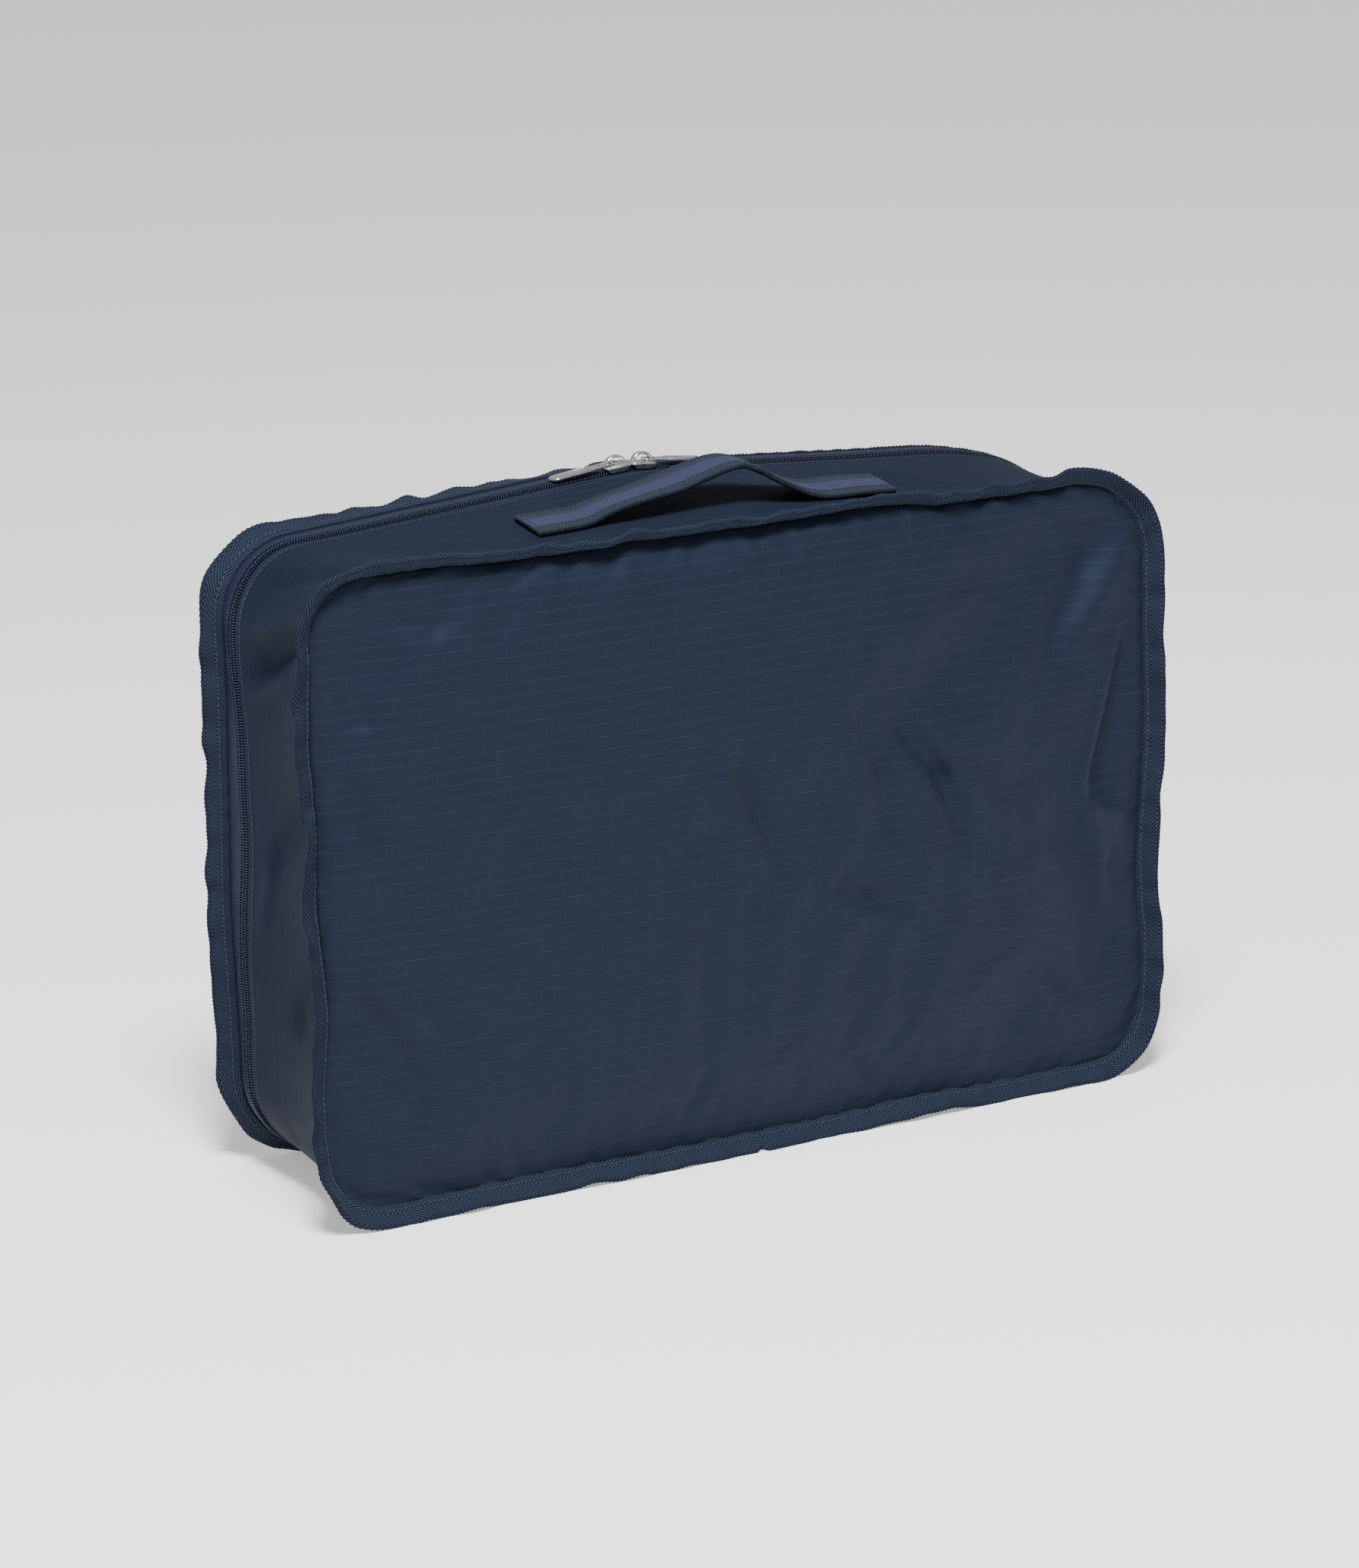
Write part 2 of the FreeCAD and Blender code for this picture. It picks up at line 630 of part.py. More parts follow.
def handle_frame():
    """The handle's own frame: X as in the cube, origin on top of the ridge under the
    handle's middle, tilted sideways with the top gusset."""
    height = size(f"{CORNER_HIGH} + corner_radius + {crown(HANDLE_Y)}")
    lean = math.degrees(math.atan2(
        size("0.6 * (back_crown - front_crown)"), size(f"({HEM}) - ({FRONT})")))
    return FreeCAD.Placement(V(0, size(HANDLE_Y), height), FreeCAD.Rotation(V(1, 0, 0), lean))


def top_at(x, side):
    """Height of the top gusset at x in the handle's frame."""
    run = f"({CORNER_X} - ({RIDGE}))" if side > 0 else f"({CORNER_X} + ({RIDGE}))"
    from_ridge = f"(({x}) - ({RIDGE}))" if side > 0 else f"(({RIDGE}) - ({x}))"
    return f"-({crown(HANDLE_Y)} * {from_ridge} / {run})"


def strap_end(label, side, width, low, high):
    """The sewn end of the webbing with the slope that rises to the bend. low and high
    are the heights of its faces above the underside of the webbing."""
    word = "right" if side > 0 else "left"
    sign = "" if side > 0 else "-"
    outer, inner, bend = (f"{sign}{word}_tab_outer", f"{sign}{word}_tab_inner",
                          f"{sign}({word}_bend + bend_gap)")
    line = [(outer, f"{top_at(outer, side)} + tab_lift"),
            (inner, f"{top_at(inner, side)} + tab_lift"),
            (bend, "bend_rise - strap_thick / 2")]
    body = new_body(label)
    sketch = new_sketch(body, "XZ_Plane", f"{label}_side")
    under = [(x, f"{z} + {low}") for x, z in line]
    over = [(x, f"{z} + {high}") for x, z in reversed(line)]
    polygon(sketch, "edge", under + over)
    pad(body, sketch, width, midplane=True)
    body.Placement = handle_frame()
    return body


def strap_middle(label, width, low, high):
    """The arch of the webbing between its two bends."""
    body = new_body(label)
    path = new_sketch(body, "XZ_Plane", f"{label}_path")
    start = V(-size("left_bend"), size("bend_rise"), 0)
    end = V(size("right_bend"), size("bend_rise"), 0)
    r = size("apex_radius")
    centre = V(size("apex_shift"), size("apex_rise - apex_radius"), 0)

    def touch(point, side):
        """Angle on the apex circle where the line from the point touches it."""
        away = point - centre
        swing = math.acos(r / away.Length)
        return math.atan2(away.y, away.x) + side * swing

    left, right = touch(start, -1), touch(end, 1)
    arc = Part.ArcOfCircle(Part.Circle(centre, V(0, 0, 1), r), right, left)
    ids = path.addGeometry([
        Part.LineSegment(start, arc.EndPoint), arc, Part.LineSegment(arc.StartPoint, end)])
    path.addConstraint(Sketcher.Constraint("Tangent", ids[0], 2, ids[1], 2))
    path.addConstraint(Sketcher.Constraint("Tangent", ids[1], 1, ids[2], 1))
    place(path, ids[0], 1, "start", "-left_bend", "bend_rise")
    place(path, ids[2], 2, "end", "right_bend", "bend_rise")
    place(path, ids[1], 3, "centre", "apex_shift", "apex_rise - apex_radius")
    radius(path, ids[1], "apex", "apex_radius")
    profile = new_sketch(body, "YZ_Plane", f"{label}_profile", "-left_bend")
    rectangle(profile, "web", f"-({width}) / 2", f"{width} / 2",
              f"bend_rise - strap_thick / 2 + {low}", f"bend_rise - strap_thick / 2 + {high}")
    sweep = body.newObject("PartDesign::AdditivePipe", f"{label}_sweep")
    sweep.Profile = profile
    sweep.Spine = (path, [""])
    sweep.Transition = "Transformed"
    body.Placement = handle_frame()
    return body


def box_stitch(side, label):
    """A stitched frame that holds a sewn end down, on both sides of the ribbon."""
    word = "right" if side > 0 else "left"
    sign = "" if side > 0 else "-"
    outer, inner = f"{sign}({word}_tab_outer)", f"{sign}({word}_tab_inner)"
    edge = "3"
    surface = "tab_lift + strap_thick"

    def strip(x, z_shift):
        return (x, f"{top_at(x, side)} + {surface} + {z_shift}")

    body = new_body(label)
    near = f"{sign}({word}_tab_inner + {edge})"
    far = f"{sign}({word}_tab_outer - {edge})"
    sketch = new_sketch(body, "XZ_Plane", f"{label}_layer")
    polygon(sketch, "layer", [strip(far, "0"), strip(near, "0"),
                              strip(near, "thread_rise"), strip(far, "thread_rise")])
    pad(body, sketch, f"strap_width - 2 * {edge}", midplane=True)
    hollow = new_sketch(body, "XY_Plane", f"{label}_hollow")
    low = f"{sign}({word}_tab_inner + {edge} + thread)"
    high = f"{sign}({word}_tab_outer - {edge} - thread)"
    x0, x1 = (low, high) if side > 0 else (high, low)
    rectangle(hollow, "hollow", x0, x1, f"-(strap_width / 2 - {edge} - thread)",
              f"strap_width / 2 - {edge} - thread")
    pocket_through(body, hollow)
    gap = new_sketch(body, "XY_Plane", f"{label}_gap")
    x0, x1 = (near, far) if side > 0 else (far, near)
    rectangle(gap, "gap", f"{x0} - 1", f"{x1} + 1",
              "-(ribbon_width / 2 + thread_rise)", "ribbon_width / 2 + thread_rise")
    pocket_through(body, gap)
    body.Placement = handle_frame()
    return body


# ---------------------------------------------------------------- assembly
parts = [
    front_panel(), back_panel(), base_gusset(),
    front_allowance(), back_allowance(), hinge_allowance(),
    front_binding(), back_binding(), hinge_binding(),
    front_binding_thread(), back_binding_thread(),
]
parts += zipper()
web = ("strap_width", "0", "strap_thick")
ribbon = ("ribbon_width", "strap_thick", "(strap_thick + ribbon_thick)")
for turn, word in ((-1, "left"), (1, "right")):
    parts.append(zipper_stop(turn, f"zipper_stop_{word}"))
    parts.append(slider_body(turn, f"slider_body_{word}"))
    parts.append(slider_bridge(turn, f"slider_bridge_{word}"))
    parts.append(pull_tab(turn, f"pull_tab_{word}"))
    parts.append(strap_end(f"handle_end_{word}", turn, *web))
    parts.append(strap_end(f"handle_ribbon_{word}", turn, *ribbon))
    parts.append(box_stitch(turn, f"handle_stitch_{word}"))
parts.append(strap_middle("handle_strap", *web))
parts.append(strap_middle("handle_ribbon", *ribbon))
doc.recompute()

for item in doc.Objects:
    if "Invalid" in item.State or "Error" in item.State:
        raise RuntimeError(f"{item.Name} failed: {item.State}")
for item in parts:
    if item.Shape.isNull() or not item.Shape.isValid() or not item.Shape.Solids:
        raise RuntimeError(f"{item.Label} has no valid solid")

os.makedirs("parts", exist_ok=True)
for item in parts:
    item.Shape.exportStep(f"parts/{item.Label}.step")
    box = item.Shape.BoundBox
    print(f"{item.Label:22s} {len(item.Shape.Solids)} solid, {item.Shape.Volume:10.1f} mm3, "
          f"x {box.XMin:7.1f} {box.XMax:7.1f}  y {box.YMin:6.1f} {box.YMax:6.1f}  "
          f"z {box.ZMin:6.1f} {box.ZMax:6.1f}")
for turn, word in ((-1, "left"), (1, "right")):
    frame = pull_frame(turn)
    travel = slider_frame(turn).Rotation.multVec(V(1, 0, 0))
    print(f"{word} pull pivot {frame.Base}, travel axis {travel}")
print(f"handle axis {handle_frame().Base}, hinge height {size(BASE + ' + hinge_lift'):.3f}")
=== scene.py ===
"""Looks of the packing cube: cloth, seams, zipper, sliders and handle, built in mesh code
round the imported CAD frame. Lengths are in millimetres until MM turns them into metres, and
the studio's are in metres. +X is right, +Y is back and +Z is up."""

import json
import math

import bpy
import numpy as np
from mathutils import Matrix, Vector


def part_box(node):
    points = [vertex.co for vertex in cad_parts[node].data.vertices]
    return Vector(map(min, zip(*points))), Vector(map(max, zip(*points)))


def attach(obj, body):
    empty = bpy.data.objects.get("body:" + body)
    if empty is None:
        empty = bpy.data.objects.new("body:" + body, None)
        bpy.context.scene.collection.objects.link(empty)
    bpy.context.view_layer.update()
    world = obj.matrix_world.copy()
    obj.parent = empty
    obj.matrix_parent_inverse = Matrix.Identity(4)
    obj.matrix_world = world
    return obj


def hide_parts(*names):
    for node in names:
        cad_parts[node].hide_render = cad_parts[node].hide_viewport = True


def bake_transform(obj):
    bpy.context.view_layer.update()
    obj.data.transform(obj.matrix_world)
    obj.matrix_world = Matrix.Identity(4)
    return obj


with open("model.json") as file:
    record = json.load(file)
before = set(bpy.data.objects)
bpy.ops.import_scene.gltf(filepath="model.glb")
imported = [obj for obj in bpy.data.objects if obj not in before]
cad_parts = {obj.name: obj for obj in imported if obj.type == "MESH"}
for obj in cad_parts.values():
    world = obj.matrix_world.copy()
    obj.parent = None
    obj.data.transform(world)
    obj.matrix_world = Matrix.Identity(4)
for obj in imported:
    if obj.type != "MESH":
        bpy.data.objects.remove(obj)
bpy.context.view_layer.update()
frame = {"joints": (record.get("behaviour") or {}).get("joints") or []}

MM = 0.001
TAU = 2 * math.pi
CHEVRON = 5.4        # width of a stripe of the herringbone tape
RIB_PITCH = 2.1
RIB_SLOPE = 1.5
STRAP_CHEVRON = 1.8
STRAP_RIB_PITCH = 1.6


# ---------- sizes from the frame
def box_mm(node):
    low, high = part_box(node)
    return np.array(low) / MM, np.array(high) / MM


def middle_y(node):
    low, high = box_mm(node)
    return (low[1] + high[1]) / 2


GUSSET_LOW, GUSSET_HIGH = box_mm("side_gusset")
HALF_WIDTH = GUSSET_HIGH[0]
BASE_Z = GUSSET_LOW[2]
HEM_Y = GUSSET_HIGH[1]
FRONT_Y = middle_y("front_panel")
BACK_Y = middle_y("back_panel")
COIL_Y = (box_mm("zipper_coil_case")[1][1] + box_mm("zipper_coil_lid")[0][1]) / 2
ZIPPER_END = box_mm("hinge_binding")[1][0] + 0.5
RIDGE_X = (box_mm("slider_body_left")[1][0] + box_mm("slider_body_right")[0][0]) / 2
SEAM_WIDTH = 440
SEAM_HEIGHT = 300
GUSSET_DEPTH = 101
CORNER_TOP = BASE_Z + SEAM_HEIGHT
CORNER_RADIUS = 38.0
FRONT_CROWN = box_mm("front_panel")[1][2] - CORNER_TOP
BACK_CROWN = box_mm("back_panel")[1][2] - CORNER_TOP
FIN = (box_mm("front_binding")[1][0] - HALF_WIDTH) * math.sqrt(2)
JOINTS = {joint["name"]: joint for joint in frame["joints"]}


# ---------- mesh helpers
def add_object(name, data):
    item = bpy.data.objects.new(name, data)
    bpy.context.scene.collection.objects.link(item)
    return item


def new_mesh(name, points, faces, material, weave=None):
    """A smooth mesh object from points in mm. weave holds cloth coordinates in mm."""
    mesh = bpy.data.meshes.new(name)
    mesh.from_pydata((np.asarray(points, float) * MM).tolist(), [], [list(f) for f in faces])
    if weave is not None:
        layer = mesh.attributes.new("weave", "FLOAT_VECTOR", "POINT")
        layer.data.foreach_set("vector", np.asarray(weave, np.float32).ravel())
    mesh.polygons.foreach_set("use_smooth", [True] * len(mesh.polygons))
    mesh.materials.append(material)
    mesh.update()
    return add_object(name, mesh)


def grid_faces(rows, columns, closed=False):
    """Quads of a grid of points stored row by row. closed joins the last column to the first."""
    index = np.arange(rows * columns).reshape(rows, columns)
    right = np.roll(index, -1, axis=1)
    if not closed:
        index, right = index[:, :-1], right[:, :-1]
    quads = np.stack([index[:-1], index[1:], right[1:], right[:-1]], axis=-1)
    return quads.reshape(-1, 4).tolist()


def grid_mesh(name, grid, material, weave=None, closed=False):
    """A mesh from a grid of points. A closed grid is a bar, and gets its two end caps."""
    rows, columns = grid.shape[:2]
    flat_weave = None if weave is None else weave.reshape(-1, 3)
    faces = grid_faces(rows, columns, closed)
    if closed:
        last = (rows - 1) * columns
        faces += [list(range(columns)), list(range(last, last + columns))[::-1]]
    return new_mesh(name, grid.reshape(-1, 3), faces, material, flat_weave)


def finish_piece(piece, body, slot, *nodes):
    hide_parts(*nodes)
    if body:
        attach(piece, body)
    return piece


def apply_modifiers(piece):
    """Replace the mesh by its evaluated copy, with no modifier left."""
    graph = bpy.context.evaluated_depsgraph_get()
    mesh = bpy.data.meshes.new_from_object(piece.evaluated_get(graph), depsgraph=graph)
    piece.modifiers.clear()
    piece.data = mesh
    return piece


def thicken(piece, thickness, offset):
    """Give a sheet its thickness in mm."""
    solid = piece.modifiers.new("thickness", "SOLIDIFY")
    solid.thickness = thickness * MM
    solid.offset = offset
    solid.use_even_offset = False
    return apply_modifiers(piece)


def unit(vectors):
    return vectors / np.linalg.norm(vectors, axis=-1, keepdims=True)


def run_along(path):
    """Distance from the start of a path at each of its points."""
    return np.concatenate([[0], np.cumsum(np.linalg.norm(np.diff(path, axis=0), axis=1))])


def sample(stops, run, values):
    """Values of a path's points at some distances along it."""
    return np.column_stack([np.interp(stops, run, values[:, k]) for k in range(3)])


def bell(loop, x, z, reach):
    """1 for loop points at a place, falling to 0 away from it."""
    return np.exp(-((loop[:, 0] - x) ** 2 + (loop[:, 1] - z) ** 2) / reach ** 2)


def cloth_places(grid, along, across):
    """Cloth coordinates in mm of a grid of points."""
    weave = np.zeros(grid.shape)
    weave[..., 0] = along
    weave[..., 1] = across
    return weave


def ripple(count, seed, low, high, waves=7):
    """Smooth noise round a closed loop, from about -1 to 1. low and high are the fewest
    and the most waves round the loop."""
    draw = np.random.default_rng(seed)
    turn = np.linspace(0, TAU, count)
    total = np.zeros(count)
    for _ in range(waves):
        total += draw.uniform(0.4, 1) * np.sin(draw.integers(low, high + 1) * turn
                                               + draw.uniform(0, TAU))
    return total / (0.45 * waves)


def scatter(template, faces, origins, along, across, normal):
    """Copies of a small template mesh. Its axes are along, across and normal."""
    points = (origins[:, None, :]
              + template[None, :, 0:1] * along[:, None, :]
              + template[None, :, 1:2] * across[:, None, :]
              + template[None, :, 2:3] * normal[:, None, :])
    count, size = points.shape[:2]
    shift = (np.arange(count) * size)[:, None, None]
    all_faces = np.asarray(faces)[None] + shift
    return points.reshape(-1, 3), all_faces.reshape(-1, len(faces[0])).tolist()


def rod_template(length, width, height, sides=6):
    """A short rounded rod along its first axis, such as a stitch."""
    stations = [(-0.5, 0.35), (-0.36, 0.85), (0, 1.0), (0.36, 0.85), (0.5, 0.35)]
    angles = np.arange(sides) / sides * TAU
    rings = [np.column_stack([np.full(sides, s * length),
                              0.5 * width * scale * np.cos(angles),
                              0.5 * height * scale * np.sin(angles)]) for s, scale in stations]
    return np.vstack(rings), grid_faces(len(stations), sides, closed=True)


# ---------- materials
BLUE = (0.5, 0.66, 1.0, 1)


class Nodes:
    """A short way to write a material's nodes."""

    def __init__(self, name):
        self.material = bpy.data.materials.new(name)
        self.material.use_nodes = True
        self.tree = self.material.node_tree
        self.shader = self.tree.nodes["Principled BSDF"]

    def add(self, kind, **settings):
        node = self.tree.nodes.new(kind)
        for key, value in settings.items():
            setattr(node, key, value)
        return node

    def link(self, source, target):
        if isinstance(source, (int, float, tuple)):
            target.default_value = source
        else:
            self.tree.links.new(source, target)

    def math(self, operation, a, b=0.0, c=None):
        node = self.add("ShaderNodeMath", operation=operation)
        self.link(a, node.inputs[0])
        self.link(b, node.inputs[1])
        if c is not None:
            self.link(c, node.inputs[2])
        return node.outputs[0]

    def weave(self):
        """Cloth coordinates in mm, as a vector and as its three parts."""
        layer = self.add("ShaderNodeAttribute", attribute_name="weave")
        split = self.add("ShaderNodeSeparateXYZ")
        self.tree.links.new(layer.outputs["Vector"], split.inputs[0])
        return layer.outputs["Vector"], split.outputs

    def total(self, *parts):
        """Sum of sockets, each times its weight."""
        result = None
        for socket, weight in parts:
            term = socket if weight == 1 else self.math("MULTIPLY", socket, weight)
            result = term if result is None else self.math("ADD", result, term)
        return result

    def noise(self, vector, scale, detail=2.0, rough=0.5):
        node = self.add("ShaderNodeTexNoise")
        self.link(vector, node.inputs["Vector"])
        node.inputs["Scale"].default_value = scale
        node.inputs["Detail"].default_value = detail
        node.inputs["Roughness"].default_value = rough
        return node.outputs["Fac"]

    def line(self, coordinate, pitch, width):
        """1 on thin lines that repeat every pitch, 0 between them."""
        distance = self.math("PINGPONG", coordinate, pitch / 2)
        near = self.math("DIVIDE", distance, width)
        return self.math("MAXIMUM", self.math("SUBTRACT", 1.0, near), 0.0)

    def wave(self, phase):
        """0 to 1 and back as the phase grows by 1."""
        turn = self.math("SINE", self.math("MULTIPLY", phase, TAU))
        return self.math("MULTIPLY_ADD", turn, 0.5, 0.5)

    def mix(self, factor, dark, light):
        node = self.add("ShaderNodeMix", data_type="RGBA")
        self.link(factor, node.inputs[0])
        self.link(dark, node.inputs[6])
        self.link(light, node.inputs[7])
        return node.outputs[2]

    def bump(self, height, strength, distance):
        node = self.add("ShaderNodeBump")
        node.inputs["Strength"].default_value = strength
        node.inputs["Distance"].default_value = distance * MM
        self.link(height, node.inputs["Height"])
        self.link(node.outputs[0], self.shader.inputs["Normal"])

    def surface(self, colour=None, rough=None, **constants):
        if colour is not None:
            self.link(colour, self.shader.inputs["Base Color"])
        if rough is not None:
            self.link(rough, self.shader.inputs["Roughness"])
        for key, value in constants.items():
            self.shader.inputs[key.replace("_", " ")].default_value = value
        return self.material

    def cloth(self, colour, rough, specular, sheen_roughness):
        """A cloth's finish, with a faint blue gloss and sheen."""
        return self.surface(colour, rough, Specular_IOR_Level=specular, Specular_Tint=BLUE,
                            Sheen_Weight=0.02, Sheen_Tint=BLUE,
                            Sheen_Roughness=sheen_roughness)


def ripstop(name, dark, light, grid_strength, specular):
    """Fine plain weave with thicker threads in a small square grid."""
    n = Nodes(name)
    vector, (u, v, _) = n.weave()
    threads = n.math("MAXIMUM", n.math("MULTIPLY", n.line(u, 6.2, 0.28), 0.45),
                     n.line(v, 6.2, 0.34))
    weft = n.math("MULTIPLY", n.wave(n.math("DIVIDE", u, 0.62)),
                  n.wave(n.math("DIVIDE", v, 0.62)))
    mottle = n.noise(vector, 0.045, 4.0, 0.6)
    slub = n.noise(vector, 1.3, 2.0)
    factor = n.total((threads, grid_strength), (mottle, 0.22), (slub, 0.16), (weft, 0.10))
    n.bump(n.total((threads, 0.8), (weft, 0.3), (slub, 0.35)), 0.55, 0.12)
    rough = n.math("MULTIPLY_ADD", mottle, 0.12, 0.50)
    return n.cloth(n.mix(factor, dark, light), rough, specular, 0.45)


def twill(name, dark, light, stripe, slope, pitch):
    """Herringbone: ribs that lean one way and then the other in stripes across the tape, with
    painted shade, near-black, between the ribs.
    """
    n = Nodes(name)
    vector, (u, v, _) = n.weave()
    lean = n.math("MULTIPLY", n.math("PINGPONG", v, stripe), slope)
    rib = n.wave(n.math("DIVIDE", n.math("ADD", u, lean), pitch))
    cross = n.wave(n.math("DIVIDE", n.math("SUBTRACT", v, n.math("MULTIPLY", u, 0.15)), 0.8))
    fuzz = n.noise(vector, 2.2, 3.0, 0.65)
    mottle = n.noise(vector, 0.07, 2.0)
    # the rib stripes are the weave's own pattern; the dark colour between the ribs is painted shade
    # in their grooves
    factor = n.total((n.math("POWER", rib, 1.8), 0.8), (cross, 0.10), (fuzz, 0.16),
                     (mottle, 0.08))
    n.bump(n.total((rib, 1), (fuzz, 0.7), (cross, 0.3)), 0.8, 0.28)
    rough = n.math("MULTIPLY_ADD", fuzz, 0.15, 0.72)
    return n.cloth(n.mix(factor, dark, light), rough, 0.12, 0.5)


def grosgrain(name, dark, light, pitch):
    """Fine cross ribs."""
    n = Nodes(name)
    vector, (u, v, _) = n.weave()
    rib = n.wave(n.math("DIVIDE", u, pitch))
    warp = n.wave(n.math("DIVIDE", v, pitch * 0.8))
    fuzz = n.noise(vector, 1.6, 2.0)
    factor = n.total((rib, 0.45), (warp, 0.2), (fuzz, 0.35))
    n.bump(n.total((rib, 1), (warp, 0.4)), 0.6, 0.16)
    rough = n.math("MULTIPLY_ADD", fuzz, 0.1, 0.45)
    return n.cloth(n.mix(factor, dark, light), rough, 0.15, 0.4)


def plain(name, dark, light, rough, scale, **constants):
    """A colour that varies a little, with fine grain."""
    n = Nodes(name)
    place = n.add("ShaderNodeTexCoord").outputs["Object"]
    grain = n.noise(place, scale, 3.0, 0.6)
    n.bump(grain, 0.35, 0.08)
    return n.surface(n.mix(grain, dark, light), n.math("MULTIPLY_ADD", grain, 0.12, rough),
                     **constants)


PANEL = ripstop("panel_ripstop", (0.0042, 0.0062, 0.0130, 1), (0.020, 0.026, 0.046, 1),
                0.3, 0.14)
GUSSET = ripstop("gusset_ripstop", (0.0044, 0.0066, 0.0140, 1), (0.021, 0.028, 0.050, 1),
                 0.22, 0.03)
# The near-black dark colours of the two twills below are painted shade between their ribs.
TWILL = twill("herringbone_tape", (0.0003, 0.0006, 0.0016, 1), (0.027, 0.036, 0.062, 1),
              CHEVRON, RIB_SLOPE, RIB_PITCH)
WEBBING = twill("handle_twill", (0.0006, 0.0010, 0.0022, 1), (0.034, 0.043, 0.062, 1),
                STRAP_CHEVRON, 1.0, STRAP_RIB_PITCH)
RIBBON = grosgrain("handle_grosgrain", (0.006, 0.008, 0.021, 1), (0.042, 0.048, 0.098, 1), 1.05)
TAPE = grosgrain("zipper_tape_weave", (0.003, 0.004, 0.011, 1), (0.020, 0.025, 0.056, 1), 0.9)
COIL = plain("zipper_coil_nylon", (0.002, 0.003, 0.007, 1), (0.009, 0.013, 0.025, 1), 0.3, 900,
             Specular_IOR_Level=0.3, Specular_Tint=BLUE)
THREAD = plain("sewing_thread", (0.003, 0.005, 0.010, 1), (0.026, 0.036, 0.062, 1), 0.6, 2500,
               Specular_IOR_Level=0.3, Sheen_Weight=0.1)
METAL = plain("nickel_plate", (0.66, 0.66, 0.67, 1), (0.86, 0.86, 0.87, 1), 0.16, 350,
              Metallic=1.0)


# ---------- seam loops
STEP = 0.75          # about the distance between loop points
LINE_COUNTS = [round(c / STEP) for c in (184, 224, 197, 171, 224, 184)]
ARC_COUNTS = [round(c / STEP) for c in (60, 57, 6, 57, 60)]


def outline(crown, radii):
    """A closed loop in (x, z) from the middle of the base, anticlockwise as seen from the
    front. Each stretch has a fixed count of points, so two loops match point by point."""
    run_right = HALF_WIDTH - CORNER_RADIUS - RIDGE_X
    run_left = HALF_WIDTH - CORNER_RADIUS + RIDGE_X
    corners = np.array([
        (0, BASE_Z),
        (HALF_WIDTH, BASE_Z),
        (HALF_WIDTH, CORNER_TOP - crown * CORNER_RADIUS / run_right),
        (RIDGE_X, CORNER_TOP + crown),
        (-HALF_WIDTH, CORNER_TOP - crown * CORNER_RADIUS / run_left),
        (-HALF_WIDTH, BASE_Z),
        (0, BASE_Z)])
    pieces = []
    start = corners[0]
    for i, (radius, arc_count, line_count) in enumerate(zip(radii, ARC_COUNTS, LINE_COUNTS)):
        before, corner, after = corners[i], corners[i + 1], corners[i + 2]
        d1, d2 = unit(corner - before), unit(after - corner)
        turn = math.atan2(d1[0] * d2[1] - d1[1] * d2[0], d1 @ d2)
        reach = radius * math.tan(turn / 2)
        first, last = corner - d1 * reach, corner + d2 * reach
        centre = first + radius * np.array([-d1[1], d1[0]])
        share = np.linspace(0, 1, line_count, endpoint=False)[:, None]
        pieces.append(start + (first - start) * share)
        angle = math.atan2(*(first - centre)[::-1])
        angles = angle + turn * np.linspace(0, 1, arc_count, endpoint=False)
        pieces.append(centre + radius * np.column_stack([np.cos(angles), np.sin(angles)]))
        start = last
    share = np.linspace(0, 1, LINE_COUNTS[-1] + 1)[:, None]
    pieces.append(start + (corners[-1] - start) * share)
    return np.vstack(pieces)


def nudge(loop, pulls):
    """Pull a loop out of shape: each pull is x, z, reach and the shift dx, dz."""
    moved = loop.copy()
    for x, z, reach, dx, dz in pulls:
        moved += bell(loop, x, z, reach)[:, None] * (dx, dz)
    return moved


FRONT_PULLS = [
    (-222, 60, 28, -2.0, 0), (-222, 105, 22, 1.5, 0), (-222, 165, 30, -2.2, 0),
    (-222, 235, 35, -2.6, 0), (-212, 300, 22, -3.0, 2.0), (-170, 309, 30, 0, 2.2),
    (150, 309, 60, 0, -3.0), (60, 309, 30, 0, 1.5), (222, 190, 40, 1.8, 0),
    (222, 110, 30, -2.0, 0), (222, 60, 25, 2.0, 0), (-120, 9, 40, 0, 1.2),
    (90, 9, 30, 0, 1.2), (-60, 309, 12, 0, 1.0), (105, 309, 12, 0, -1.2),
]
BACK_PULLS = [
    (200, 304, 26, 1.0, -6.0), (115, 315, 45, 0, -0.6), (-222, 250, 40, 1.0, 0),
    (-222, 130, 40, -1.5, 0), (222, 150, 50, 1.5, 0),
]
CORNERS_PLAIN = [CORNER_RADIUS] * 5
FRONT_LOOP = nudge(outline(FRONT_CROWN, [27, 42, 38, 29, 28]), FRONT_PULLS)
BACK_LOOP = nudge(outline(BACK_CROWN, CORNERS_PLAIN), BACK_PULLS)
COUNT = len(FRONT_LOOP)


def loop_normals(loop):
    """Outward normals of a closed loop."""
    ahead = unit(np.roll(loop[:-1], -2, axis=0) - np.roll(loop[:-1], 2, axis=0))
    normals = np.column_stack([ahead[:, 1], -ahead[:, 0]])
    return np.vstack([normals, normals[:1]])


NORMAL = loop_normals(outline((FRONT_CROWN + BACK_CROWN) / 2, CORNERS_PLAIN))
OUT = np.column_stack([NORMAL[:, 0], np.zeros(COUNT), NORMAL[:, 1]])
RUN = run_along(FRONT_LOOP)
MIDDLE_LOOP = (FRONT_LOOP + BACK_LOOP) / 2


def nearest(x, z):
    """Index of the loop point nearest to a place on the outline."""
    return int(np.argmin((MIDDLE_LOOP[:, 0] - x) ** 2 + (MIDDLE_LOOP[:, 1] - z) ** 2))


def rise_share(y):
    """How much of the back's crown is reached at depth y."""
    return np.clip((y - FRONT_Y) / (HEM_Y - FRONT_Y), 0, 1)


